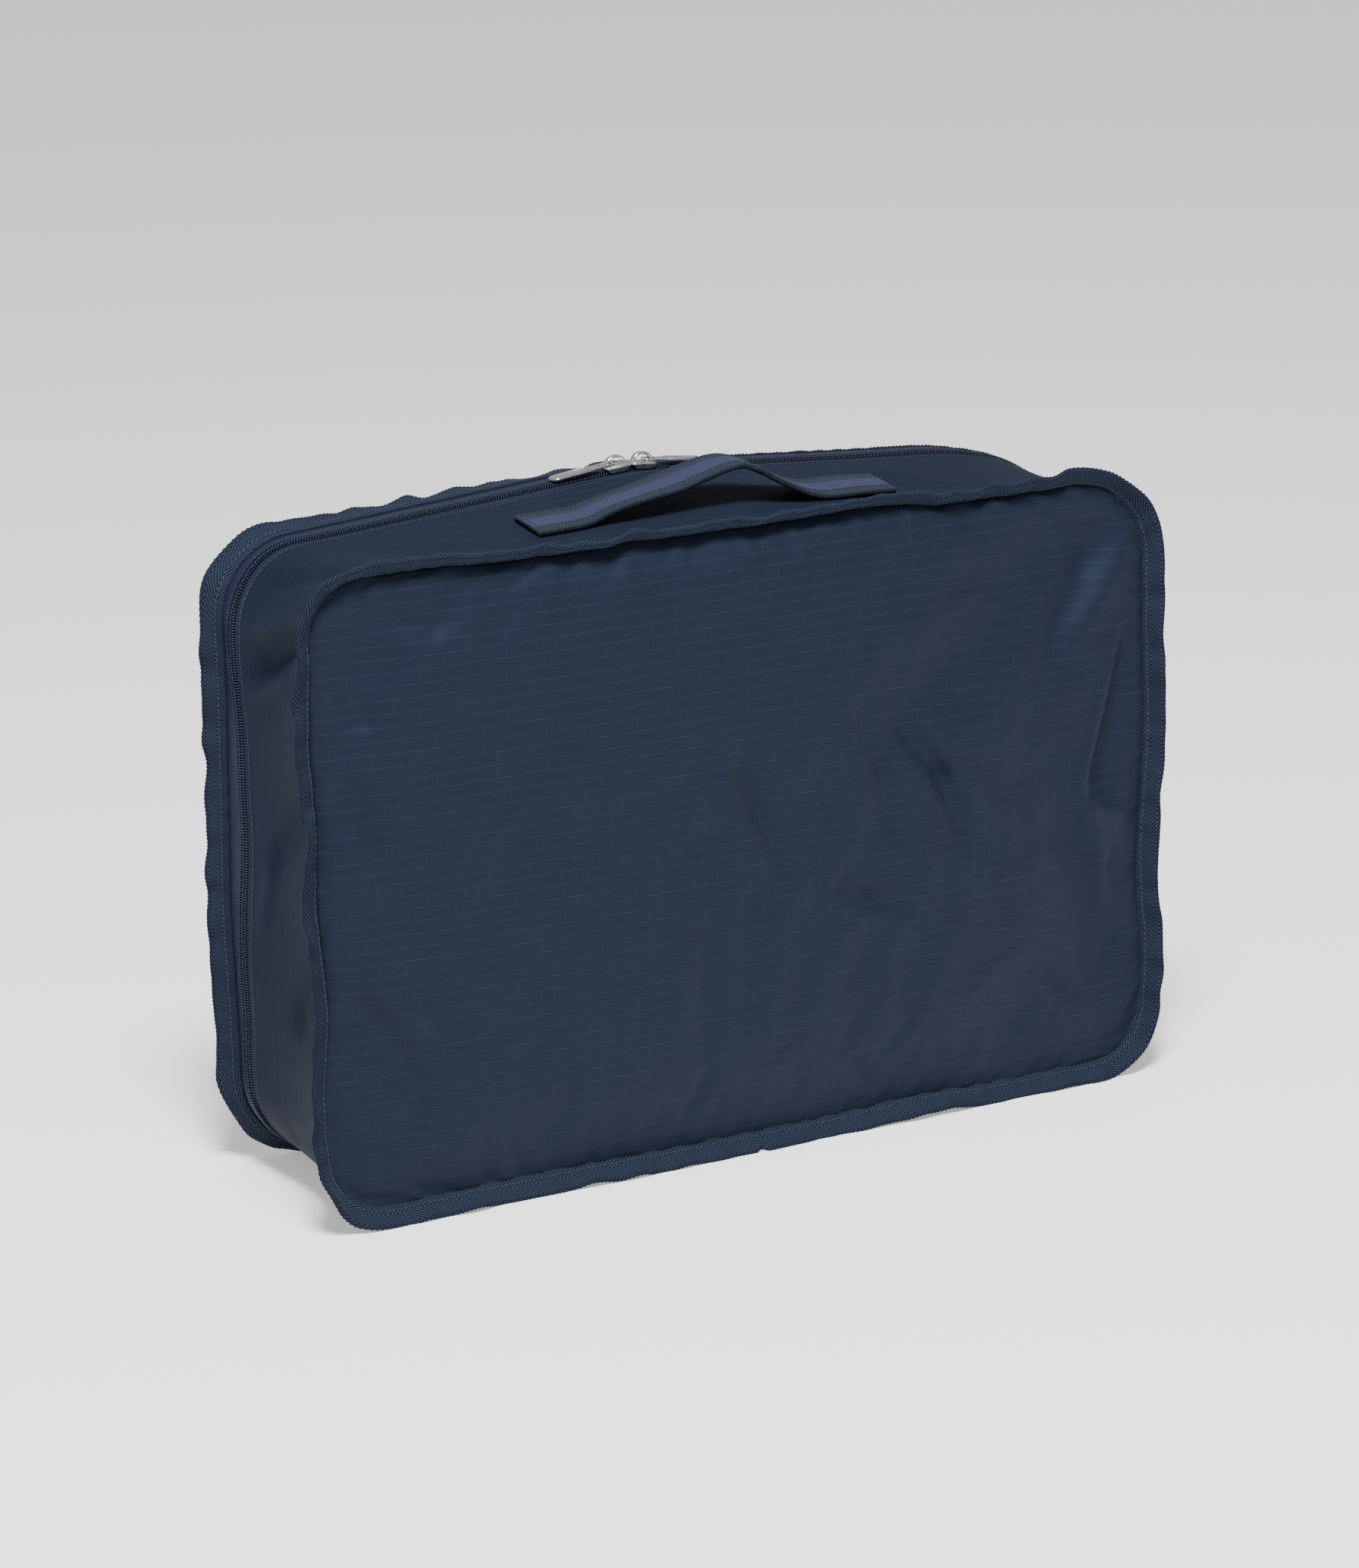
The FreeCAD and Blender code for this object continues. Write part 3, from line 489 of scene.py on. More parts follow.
def skin(y, lift=0.0):
    """Points of the cube's side at depth y, one for each loop point. y and lift are
    numbers or arrays over the loop."""
    y = np.broadcast_to(np.asarray(y, float), COUNT)
    w = rise_share(y)[:, None]
    flat = FRONT_LOOP * (1 - w) + BACK_LOOP * w
    flat = flat + NORMAL * (np.broadcast_to(lift, COUNT) + dent(y))[:, None]
    return np.column_stack([flat[:, 0], y, flat[:, 1]])


# Folds in the gusset: ends as (distance round the loop, depth y), width and depth in mm.
TOP_LEFT = RUN[nearest(-211, 298)]
LEFT_SIDE = RUN[nearest(-222, 160)]
BOTTOM_LEFT = RUN[nearest(-211, 20)]
TOP_SIDE = RUN[nearest(0, 320)]
FOLDS = [
    (TOP_LEFT - 30, -40, TOP_LEFT + 8, 22, 7, 3.6),
    (TOP_LEFT + 5, -44, TOP_LEFT + 25, 15, 6, -3.2),
    (TOP_LEFT + 18, -38, TOP_LEFT + 48, 26, 8, 5.0),
    (TOP_LEFT + 44, -20, TOP_LEFT + 60, 28, 6, -2.8),
    (TOP_LEFT - 70, -30, TOP_LEFT - 40, 20, 12, 1.6),
    (LEFT_SIDE - 45, -36, LEFT_SIDE - 5, 8, 7, 3.0),
    (LEFT_SIDE - 5, 8, LEFT_SIDE + 35, 20, 6, -2.2),
    (LEFT_SIDE + 30, -40, LEFT_SIDE + 75, -10, 8, 2.6),
    (BOTTOM_LEFT - 22, -40, BOTTOM_LEFT - 5, 10, 8, 2.2),
    (TOP_SIDE - 150, -40, TOP_SIDE - 95, -5, 11, 1.8),
    (TOP_SIDE - 120, 8, TOP_SIDE - 70, 22, 9, -1.2),
    (TOP_SIDE + 100, -38, TOP_SIDE + 150, -12, 10, 1.6),
]


def fold(s, y, line):
    """Height of one fold at places (s, y)."""
    s0, y0, s1, y1, width, depth = line
    ds, dy = s1 - s0, y1 - y0
    along = ((s - s0) * ds + (y - y0) * dy) / (ds * ds + dy * dy)
    off = ((s - s0) * dy - (y - y0) * ds) / math.hypot(ds, dy)
    ends = np.exp(-(np.clip(np.abs(along - 0.5) - 0.3, 0, None) / 0.22) ** 2)
    return -depth * ends * np.exp(-(off / width) ** 2)


def dent(y):
    """How far the side stands out from the straight line between its seams."""
    arch = np.sin(math.pi * rise_share(y))
    left = np.exp(-((FRONT_LOOP[:, 0] + HALF_WIDTH) / 30) ** 2)
    right = np.exp(-((FRONT_LOOP[:, 0] - HALF_WIDTH) / 30) ** 2)
    low = np.exp(-((FRONT_LOOP[:, 1] - BASE_Z) / 14) ** 2)
    sag = -1.4 - 2.6 * left * (1 - low) - 1.5 * right * (1 - low) + 1.4 * low
    total = sag * arch
    for line in FOLDS:
        total = total + fold(RUN, y, line) * arch ** 0.6 * (1 - low)
    return total


# ---------- binding tape
HALF_TAPE = 1.15     # half the thickness of the folded tape
ACROSS_STEP = 0.8
SEWN_AT = 3.9        # the stitch line's distance from the root of the fin


def fin_frame(loop, y, facing, seed, leans):
    """Root line of a seam's fin, the direction it stands in, the normal of the face that
    looks at the panel, and the sideways sway of its tip. leans are x, z, reach, degrees."""
    lean = 45 + 8 * ripple(COUNT, seed, 8, 26) + 5 * ripple(COUNT, seed + 1, 30, 70)
    for x, z, reach, degrees in leans:
        lean = lean + degrees * bell(loop, x, z, reach)
    lean = np.radians(lean)[:, None]
    sway = 0.8 * ripple(COUNT, seed + 2, 12, 40) + 0.5 * ripple(COUNT, seed + 3, 50, 110)
    depth = np.array([0.0, facing, 0.0])
    root = np.column_stack([loop[:, 0], np.full(COUNT, y), loop[:, 1]])
    away = np.cos(lean) * OUT + np.sin(lean) * depth
    face = -np.sin(lean) * OUT + np.cos(lean) * depth
    return root, away, face, sway


FRONT_FIN = fin_frame(FRONT_LOOP, FRONT_Y, -1, 11, [
    (-140, 309, 55, 14), (-60, 309, 60, 16), (30, 309, 60, 16), (100, 309, 40, 8)])
BACK_FIN = fin_frame(BACK_LOOP, BACK_Y, 1, 31, [
    (-130, 316, 60, 42), (-40, 322, 50, 50), (40, 322, 50, 52), (110, 318, 50, 54),
    (180, 300, 55, 58), (222, 230, 60, 20)])


def inside_fin(fin, reach=1.7):
    """A line hidden inside a fin, where the cloth is sewn."""
    return fin[0] + reach * fin[1]


def at(values, stops):
    """Values of a closed loop at fractional point numbers, which may run past the end."""
    low = np.floor(stops).astype(int)
    part = (stops - low).reshape((-1,) + (1,) * (values.ndim - 1))
    low = low % (COUNT - 1)
    return values[low] * (1 - part) + values[low + 1] * part


def fin_profile(width):
    """Cross-section of the folded tape: r away from the seam and t through the tape."""
    reach = width - HALF_TAPE
    rs = np.arange(0.3, reach, ACROSS_STEP)
    tips = np.radians(np.linspace(75, -75, 5))
    side = [(r, HALF_TAPE) for r in rs]
    tip = [(reach + HALF_TAPE * math.cos(a), HALF_TAPE * math.sin(a)) for a in tips]
    other = [(r, -HALF_TAPE) for r in rs[::-1]]
    return np.array(side + tip + other)


def binding(name, body, fin, stops, lap, nodes, seed):
    """Folded herringbone tape round a seam, at the loop points in stops. lap narrows the
    tape in places."""
    root, away, face, sway = (at(values, stops) for values in fin)
    run = (at(RUN, stops) + RUN[-1] * (stops >= COUNT - 1))[:, None]
    swell = at(1 + 0.18 * ripple(COUNT, seed, 60, 160), stops)[:, None]
    width = at(1 + 0.05 * ripple(COUNT, seed + 1, 20, 60) - lap, stops)[:, None]
    profile = fin_profile(FIN)
    r, t = profile[None, :, 0], profile[None, :, 1]
    cloth = run_along(profile)[None, :]
    lean = CHEVRON - np.abs(cloth % (2 * CHEVRON) - CHEVRON)
    rib = np.sin(TAU * (run + RIB_SLOPE * lean) / RIB_PITCH)
    curl = sway[:, None] * (r / FIN) ** 2
    reach = r * width + 0.3 * rib * (r > FIN - 2)
    height = t * swell + 0.27 * rib * np.sign(t + 1e-9) + curl
    grid = root[:, None] + reach[..., None] * away[:, None] + height[..., None] * face[:, None]
    grid[..., 2] = np.maximum(grid[..., 2], 0.05)
    piece = grid_mesh(name, grid, TWILL, cloth_places(grid, run, cloth), closed=True)
    return finish_piece(piece, body, "binding_tape", *nodes)


def seam_rows(fin, stops, sides):
    """Paths for the stitches on both faces of a fin, or only on the face of a panel."""
    root, away, face, sway = (at(values, stops) for values in fin)
    rows = []
    for side in sides:
        lift = side * (HALF_TAPE + 0.2) + sway * (SEWN_AT / FIN) ** 2
        rows.append((root + SEWN_AT * away + lift[:, None] * face, away, side * face))
    return rows


def stitch_row(name, body, paths, nodes, pitch=3.1, length=2.5, width=0.55):
    """Stitches along paths. Each path is points, sideways directions and outward ones."""
    template, faces = rod_template(length, width, width * 0.8)
    points, quads = [], []
    for path, across, outward in paths:
        run = run_along(path)
        stops = np.arange(pitch / 2, run[-1], pitch)
        side = unit(sample(stops, run, across))
        up = unit(sample(stops, run, outward))
        new_points, new_quads = scatter(template, faces, sample(stops, run, path),
                                        unit(np.cross(side, up)), side, up)
        shift = sum(len(p) for p in points)
        points.append(new_points)
        quads += [[i + shift for i in face] for face in new_quads]
    piece = new_mesh(name, np.vstack(points), quads, THREAD)
    return finish_piece(piece, body, "thread", *nodes)


def base_middle(limit):
    """Loop points along the base between the zipper ends, in order from left to right."""
    low = FRONT_LOOP[:, 1] < BASE_Z + 12
    flat = np.abs(BACK_LOOP[:, 0]) <= limit
    index = np.nonzero(low & flat)[0]
    half = COUNT // 2
    return np.concatenate([index[index > half], index[(index < half) & (index > 0)]])


HINGE_STRIP = base_middle(ZIPPER_END)
LID_LOOP = np.arange(HINGE_STRIP[-1], HINGE_STRIP[0] + 1)


def bindings():
    """The front seam's tape goes all round. The back seam's is split where the lid ends."""
    whole = np.arange(0, COUNT - 0.9, 0.5)
    lid = np.arange(LID_LOOP[0], LID_LOOP[-1] + 0.1, 0.5)
    hinge = np.arange(LID_LOOP[-1], COUNT - 1 + LID_LOOP[0] + 0.1, 0.5)
    lap = 0.2 * np.clip(1 - np.abs(FRONT_LOOP[:, 0] - 2) / 3.2, 0, 1) * (FRONT_LOOP[:, 1] < 40)
    binding("front_binding_tape", "case", FRONT_FIN, whole, lap, ["front_binding"], 51)
    binding("back_binding_tape", "lid", BACK_FIN, lid, 0 * lap, ["back_binding"], 61)
    binding("hinge_binding_tape", "case", BACK_FIN, hinge, 0 * lap, ["hinge_binding"], 61)
    stitch_row("front_binding_stitches", "case", seam_rows(FRONT_FIN, whole, (1, -1)),
               ["front_binding_thread", "front_allowance"])
    stitch_row("back_binding_stitches", "lid", seam_rows(BACK_FIN, lid, (1, -1)),
               ["back_binding_thread", "back_allowance"])
    stitch_row("hinge_binding_stitches", "case", seam_rows(BACK_FIN, hinge, (1,)),
               ["hinge_allowance"])


# ---------- panels
PANEL_ROWS, PANEL_COLUMNS = 130, 190
DRAPE_FRAMES = 12


def patch(loop, corner_indices):
    """A grid that fills the loop between its bottom right, top right, top left and bottom
    left corner points."""
    br, tr, tl, bl = corner_indices

    def stretch(indices, count):
        run = run_along(loop[indices])
        return sample(np.linspace(0, run[-1], count), run, loop[indices])

    base = stretch(np.concatenate([np.arange(bl, COUNT - 1), np.arange(0, br + 1)]),
                   PANEL_COLUMNS)
    right = stretch(np.arange(br, tr + 1), PANEL_ROWS)
    top = stretch(np.arange(tr, tl + 1), PANEL_COLUMNS)[::-1]
    left = stretch(np.arange(tl, bl + 1), PANEL_ROWS)[::-1]
    u = np.linspace(0, 1, PANEL_COLUMNS)[None, :, None]
    v = np.linspace(0, 1, PANEL_ROWS)[:, None, None]
    sides = (1 - v) * base[None] + v * top[None] + (1 - u) * left[:, None] + u * right[:, None]
    bilinear = ((1 - u) * (1 - v) * base[0] + u * (1 - v) * base[-1]
                + (1 - u) * v * top[0] + u * v * top[-1])
    return sides - bilinear


CORNER_PLACES = [(211, 20), (209, 296), (-212, 299), (-214, 17)]

# Folds in the front panel: ends as (x, z), width and depth. A ridge has a negative depth.
FRONT_FOLDS = [
    (208, 292, 160, 225, 10, 5.2), (207, 288, 80, 212, 16, 5.2), (212, 278, 172, 226, 10, -2.6),
    (196, 292, 120, 262, 10, 3.2), (214, 225, 192, 150, 9, 5.9), (204, 224, 182, 156, 5, -2.6),
    (186, 150, 212, 134, 5, -2.9), (204, 118, 208, 66, 7, 4.2), (165, 150, 210, 42, 12, 4.9),
    (178, 168, 214, 72, 7, -3.1), (150, 72, 185, 48, 5, 2.1), (-14, 200, -2, 170, 4, 2.3),
    (-5, 180, 14, 140, 6, 3.1), (-22, 196, 2, 150, 6, -1.6), (52, 216, 68, 182, 5, 2.6),
    (66, 190, 70, 150, 6, 2.6), (76, 206, 104, 172, 6, 4.2), (99, 180, 112, 142, 5, 3.9),
    (88, 214, 120, 160, 6, -2.6), (40, 134, 60, 120, 5, 2.9), (56, 122, 82, 112, 4, 2.3),
    (-128, 190, -106, 156, 7, 2.3), (-160, 250, -110, 205, 10, 2.1), (-196, 296, -158, 282, 6, 3.2),
    (-214, 272, -198, 240, 6, 3.2), (-212, 220, -188, 182, 8, 3.4), (-214, 196, -196, 160, 7, -2.6),
    (-200, 180, -184, 140, 9, 2.3), (-210, 112, -180, 66, 9, 3.9), (-206, 130, -176, 96, 7, -2.6),
    (-212, 62, -196, 36, 6, 3.1), (-205, 36, -170, 40, 7, -2.1), (-198, 28, -172, 72, 6, 2.1),
    (-118, 96, -108, 80, 6, 1.3), (-40, 24, -28, 48, 5, 2.1), (60, 22, 52, 40, 5, 1.8),
    (150, 30, 120, 62, 8, 1.8), (-120, 22, -100, 44, 6, 1.7),
]


def crown_shape(shape, height, power=3.2):
    """How far a stuffed panel stands out at each grid point: nothing at the seam, then
    rising fast, then nearly flat."""
    u = np.linspace(-1, 1, shape[1])[None, :]
    v = np.linspace(-1, 1, shape[0])[:, None]
    fall = (1 - np.abs(u) ** power) * (1 - np.abs(v) ** power)
    low = np.clip((-v - 0.2) / 0.8, 0, 1)
    return height * fall ** (0.62 + 0.45 * low)


def puckers(shape, seed):
    """Small waves where the panel is sewn, dying out away from the seam."""
    rows, columns = shape[:2]
    up = np.linspace(0, SEAM_HEIGHT, rows)[:, None]
    right = np.linspace(0, SEAM_WIDTH, columns)[None, :]
    total = np.zeros((rows, columns))
    for i, distance in enumerate((up, SEAM_HEIGHT - up, right, SEAM_WIDTH - right)):
        count = columns if distance.shape[1] == 1 else rows
        wave = ripple(count, seed + i, 12, 38)
        wave = wave[None, :] if distance.shape[1] == 1 else wave[:, None]
        total += wave * np.exp(-distance / 13) * (1 - np.exp(-distance / 3))
    return total


def panel(name, fin, facing, folds, height, seed):
    """A ripstop panel that bulges out of its seam, with listed folds and then cloth
    simulation, which puckers it where it is sewn."""
    points = patch(inside_fin(fin), [nearest(*place) for place in CORNER_PLACES])
    bulge = crown_shape(points.shape, height)
    edge = np.clip(crown_shape(points.shape, 1) * 2.2, 0, 1)
    for line in folds:
        bulge = bulge + fold(points[..., 0], points[..., 2], line) * edge
    weave = points[..., [0, 2, 1]] * (1, 1, 0)
    points[..., 1] += facing * (bulge + puckers(points.shape, seed))
    piece = grid_mesh(name, points, PANEL, weave)
    drape(piece, points.shape[:2], facing)
    return piece


def drape(piece, shape, facing):
    """Let the sheet settle as slightly oversized cloth that is sewn down at its rim."""
    rows, columns = shape
    index = np.arange(rows * columns).reshape(rows, columns)
    rim = np.concatenate([index[0], index[-1], index[1:-1, 0], index[1:-1, -1]])
    group = piece.vertex_groups.new(name="rim")
    group.add(rim.tolist(), 1.0, "REPLACE")
    cloth = piece.modifiers.new("cloth", "CLOTH")
    settings = dict(
        quality=4, mass=0.12, tension_stiffness=25, compression_stiffness=25, shear_stiffness=4,
        bending_stiffness=0.8, tension_damping=15, air_damping=4, vertex_group_mass="rim",
        shrink_min=-0.004, use_pressure=True,
        uniform_pressure_force=0.8 * facing * piece_facing(piece))
    for key, value in settings.items():
        setattr(cloth.settings, key, value)
    cloth.settings.effector_weights.gravity = 0
    scene = bpy.context.scene
    scene.frame_start, scene.frame_end = 1, DRAPE_FRAMES
    cloth.point_cache.frame_start, cloth.point_cache.frame_end = 1, DRAPE_FRAMES
    for step in range(1, DRAPE_FRAMES + 1):
        scene.frame_set(step)
    apply_modifiers(piece)
    scene.frame_set(1)


def piece_facing(piece):
    """1 if the mesh's normals mostly point to +Y, else -1."""
    total = sum(p.normal.y for p in piece.data.polygons)
    return 1 if total > 0 else -1


def panels():
    """The front panel, which goes with the case, and the back panel, which goes with neither body.
    """
    front = panel("front_panel_cloth", FRONT_FIN, -1, FRONT_FOLDS, 14, 71)
    back_folds = [(-x0 * 0.9, z0 * 0.95 + 8, -x1 * 0.9, z1 * 0.95 + 8, w, d * 0.8)
                  for x0, z0, x1, z1, w, d in FRONT_FOLDS[::2]]
    back = panel("back_panel_cloth", BACK_FIN, 1, back_folds, 6.5, 81)
    for piece in (front, back):
        thicken(piece, 0.25, -1)
    finish_piece(front, "case", "panel_cloth", "front_panel")
    finish_piece(back, None, "panel_cloth", "back_panel")
    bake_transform(back)


# ---------- gusset and zipper
def coil_path():
    """Depth of the middle of the coil round the loop. It wanders where the tape is slack
    and is straight under the sliders."""
    y = np.full(COUNT, COIL_Y)
    wander = [
        (-222, 50, 26, 5.0), (-222, 95, 24, 2.5), (-222, 165, 30, -4.0),
        (-222, 215, 22, -1.5), (-218, 262, 24, 5.5), (-202, 300, 18, 3.5),
        (205, 300, 20, 3.5), (222, 230, 30, -3.0), (222, 120, 35, 2.0),
    ]
    for x, z, reach, shift in wander:
        y = y + shift * bell(MIDDLE_LOOP, x, z, reach)
    return y


COIL_PATH = coil_path()
HEM_PATH = (HEM_Y + 0.85 * (COIL_PATH - COIL_Y)
            - 2.2 * np.exp(-((FRONT_LOOP[:, 0] + 75) / 45) ** 2) * (FRONT_LOOP[:, 1] > 200))
TAPE_DROP = -0.8     # how far the zipper tape lies below the gusset
COIL_PITCH = 1.32


def strip(name, lines, rows, material, body, slot, nodes):
    """A strip of cloth round the loop, through lines of points."""
    grid = np.stack([line[rows] for line in lines], axis=1)
    widths = np.linalg.norm(np.diff(grid, axis=1), axis=2)
    cloth = np.concatenate([np.zeros((len(rows), 1)), np.cumsum(widths, axis=1)], axis=1)
    piece = grid_mesh(name, grid, material, cloth_places(grid, RUN[rows][:, None], cloth))
    return finish_piece(piece, body, slot, *nodes)


def gusset():
    """The side cloth, turned in at its hem, and the hem's stitches."""
    rows = np.arange(LID_LOOP[0] - 9, LID_LOOP[-1] + 10, 3)
    lines = [inside_fin(FRONT_FIN)]
    lines += [skin(FRONT_Y + 1.2 + (HEM_PATH - FRONT_Y - 1.2) * t)
              for t in np.linspace(0, 1, 34)]
    lines += [skin(HEM_PATH + dy, lift) for dy, lift in
              [(0.0, -0.25), (0.25, -0.6), (0.0, -0.95), (-1.2, -1.1), (-4.5, -1.1)]]
    strip("side_gusset_cloth", lines, rows, GUSSET, "case", "gusset_cloth", ["side_gusset"])
    path = skin(HEM_PATH - 2.2, 0.12)
    across = np.tile([0.0, 1.0, 0.0], (COUNT, 1))
    stitch_row("hem_stitches", "case", [(path[LID_LOOP], across[LID_LOOP], OUT[LID_LOOP])],
               ["hem_thread"])


def base_gusset():
    """The strip of cloth under the cube between the zipper's ends."""
    strip_rows = np.append(HINGE_STRIP[:-1:3], HINGE_STRIP[-1])
    depths = [FRONT_Y + 1.2 + (BACK_Y - FRONT_Y - 2.4) * t for t in np.linspace(0, 1, 40)]
    lines = [inside_fin(FRONT_FIN)] + [skin(y) for y in depths] + [inside_fin(BACK_FIN)]
    grid = np.stack([line[strip_rows] for line in lines], axis=1)
    wrinkle = (0.5 * np.sin(grid[..., 0] / 23)
               * np.sin((grid[..., 1] - FRONT_Y) / GUSSET_DEPTH * math.pi))
    grid[:, 1:-1, 2] += np.abs(wrinkle[:, 1:-1]) + 0.2
    weave = cloth_places(grid, grid[..., 0], grid[..., 1])
    base = grid_mesh("base_gusset_cloth", grid, GUSSET, weave)
    finish_piece(base, "case", "gusset_cloth", "base_gusset")


def tape_strips():
    """The zipper's two tapes: from the hem to the coil, and on to the back seam."""
    rows = np.unique(np.append(np.arange(LID_LOOP[0], LID_LOOP[-1], 2), LID_LOOP[-1]))
    hidden = HEM_PATH - 4.0
    lines = [skin(hidden + (COIL_PATH - 0.15 - hidden) * t, TAPE_DROP)
             for t in np.linspace(0, 1, 9)]
    strip("zipper_tape_front", lines, rows, TAPE, "case", "zipper_tape", ["zipper_tape_case"])
    slack = 0.7 * ripple(COUNT, 5, 18, 40)
    lines = []
    for t in np.linspace(0, 1, 12):
        lift = TAPE_DROP + 0.8 * (0.8 + slack) * math.sin(math.pi * t) + t
        lines.append(skin(COIL_PATH + 0.15 + (BACK_Y - 0.9 - COIL_PATH) * t, lift))
    lines.append(inside_fin(BACK_FIN))
    strip("zipper_tape_back", lines, rows, TAPE, "lid", "zipper_tape", ["zipper_tape_lid"])


def tooth_template(side):
    """One turn of the coil: a bent rod from the edge of its row to the middle."""
    spine = np.array([(0.45, 3.05, -0.1), (0.35, 2.9, 0.75), (0.15, 2.2, 1.45),
                      (0.0, 1.2, 1.62), (-0.1, 0.35, 1.35), (-0.1, -0.2, 0.75)])
    radii = np.array([0.38, 0.42, 0.44, 0.46, 0.50, 0.45])
    sides = 5
    angles = (np.arange(sides) / sides * TAU)[:, None]
    rings = []
    for i, (centre, radius) in enumerate(zip(spine, radii)):
        ahead = unit(spine[min(i + 1, len(spine) - 1)] - spine[max(i - 1, 0)])
        first = unit(np.cross(ahead, [1, 0, 0]))
        rings.append(centre + radius * (np.cos(angles) * [1, 0, 0] + np.sin(angles) * first))
    points = np.vstack(rings)
    points[:, 1] *= side
    return points, grid_faces(len(spine), sides, closed=True)


def coil_row(name, body, side, node):
    """One row of the coil. The two rows mesh, half a pitch apart."""
    path = skin(COIL_PATH, TAPE_DROP)[LID_LOOP]
    run = run_along(path)
    stops = np.arange(1.0 + (COIL_PITCH / 2 if side > 0 else 0), run[-1] - 1, COIL_PITCH)
    origins = sample(stops, run, path)
    ahead = unit(sample(stops, run, np.gradient(path, axis=0)))
    up = unit(sample(stops, run, OUT[LID_LOOP]))
    across = unit(np.cross(up, ahead))
    across = across * np.sign(across[:, 1:2])
    template, faces = tooth_template(side)
    points, quads = scatter(template, faces, origins, ahead, across, up)
    piece = new_mesh(name, points, quads, COIL)
    finish_piece(piece, body, "zipper_coil", node)
    sewn = origins + across * side * 1.75 + up * 1.78
    stitch_row(name + "_stitches", body, [(sewn, across, up)], [], 2 * COIL_PITCH, 2.3, 0.5)


def zipper():
    gusset()
    base_gusset()
    tape_strips()
    coil_row("zipper_coil_front", "case", -1, "zipper_coil_case")
    coil_row("zipper_coil_back", "lid", 1, "zipper_coil_lid")


# ---------- sliders
PIVOT_OUT = 1.5
PIVOT_UP = 2.8
TAB_LENGTH = 34
PULL_TILT = math.asin((PIVOT_UP - 0.65 - 0.5) / TAB_LENGTH)


def slider_matrix(side):
    """Frame of a slider: X outward along the coil, Z off the coil, origin on the coil."""
    word = "right" if side > 0 else "left"
    along = Vector(JOINTS[f"slider_{word}_travel"]["axis"]).normalized()
    normal = Vector((-along.z * side, 0, along.x * side)).normalized()
    pivot = Vector(JOINTS[f"pull_{word}_flip"]["pos_m"])
    origin = pivot - along * PIVOT_OUT * MM - normal * PIVOT_UP * MM
    across = normal.cross(along)
    basis = Matrix((along, across, normal)).transposed().to_4x4()
    return Matrix.Translation(origin) @ basis


def plate(name, outer, low, high, bevel, matrix, holes=()):
    """A flat metal plate with rounded edges from outlines in mm in its own plane."""
    curve = bpy.data.curves.new(name, "CURVE")
    curve.dimensions = "2D"
    curve.fill_mode = "BOTH"
    for ring in (outer, *holes):
        spline = curve.splines.new("POLY")
        spline.points.add(len(ring) - 1)
        for point, (x, y) in zip(spline.points, ring):
            point.co = (x * MM, y * MM, 0, 1)
        spline.use_cyclic_u = True
    curve.extrude = ((high - low) / 2 - bevel) * MM
    curve.bevel_depth = bevel * MM
    curve.bevel_resolution = 2
    curve.offset = -bevel * MM
    helper = add_object(name + "_outline", curve)
    graph = bpy.context.evaluated_depsgraph_get()
    mesh = bpy.data.meshes.new_from_object(helper.evaluated_get(graph), depsgraph=graph)
    bpy.data.objects.remove(helper)
    mesh.transform(matrix @ Matrix.Translation((0, 0, (low + high) / 2 * MM)))
    mesh.materials.clear()
    mesh.materials.append(METAL)
    mesh.name = name
    mesh.polygons.foreach_set("use_smooth", [True] * len(mesh.polygons))
    mesh.set_sharp_from_angle(angle=math.radians(40))
    return add_object(name, mesh)


def mirrored(points):
    """An outline that goes on with its mirror image across the X axis."""
    return points + [(x, -y) for x, y in reversed(points)]


def arc(centre, radius, limit, count):
    """Points on a circle round (centre, 0), up to an angle each side of the X axis."""
    return [(centre + radius * math.cos(a), radius * math.sin(a))
            for a in np.linspace(-limit, limit, count)]


def rounded(points, radius):
    """Round the corners of a polygon given as (x, y) pairs."""
    points = [np.array(p, float) for p in points]
    result = []
    for i, corner in enumerate(points):
        before, after = points[i - 1], points[(i + 1) % len(points)]
        a, b = unit(before - corner), unit(after - corner)
        reach = min(radius, 0.45 * np.linalg.norm(before - corner),
                    0.45 * np.linalg.norm(after - corner))
        first, last = corner + a * reach, corner + b * reach
        for t in np.linspace(0, 1, 6):
            result.append((1 - t) ** 2 * first + 2 * t * (1 - t) * corner + t * t * last)
    return result


def tube(name, path, wides, thicks, matrix, sides=14):
    """A smooth metal bar along a path in the XZ plane. wides run along Y."""
    angles = np.arange(sides) / sides * TAU
    square = np.sign(np.cos(angles)) * np.abs(np.cos(angles)) ** 0.75
    rings = []
    for i, (centre, wide, thick) in enumerate(zip(path, wides, thicks)):
        ahead = unit(path[min(i + 1, len(path) - 1)] - path[max(i - 1, 0)])
        up = np.array([-ahead[2], 0, ahead[0]])
        rings.append(centre + 0.5 * wide * square[:, None] * [0, 1, 0]
                     + 0.5 * thick * np.sin(angles)[:, None] * up)
    points = np.vstack(rings)
    faces = grid_faces(len(path), sides, closed=True)
    faces += [list(range(sides))[::-1], list(range(len(points) - sides, len(points)))]
    piece = new_mesh(name, points, faces, METAL)
    piece.data.transform(matrix)
    return piece


def join(name, pieces):
    """Join pieces into the first one."""
    bpy.ops.object.select_all(action="DESELECT")
    for piece in pieces:
        piece.select_set(True)
    bpy.context.view_layer.objects.active = pieces[0]
    bpy.ops.object.join()
    pieces[0].name = name
    pieces[0].data.name = name
    return pieces[0]


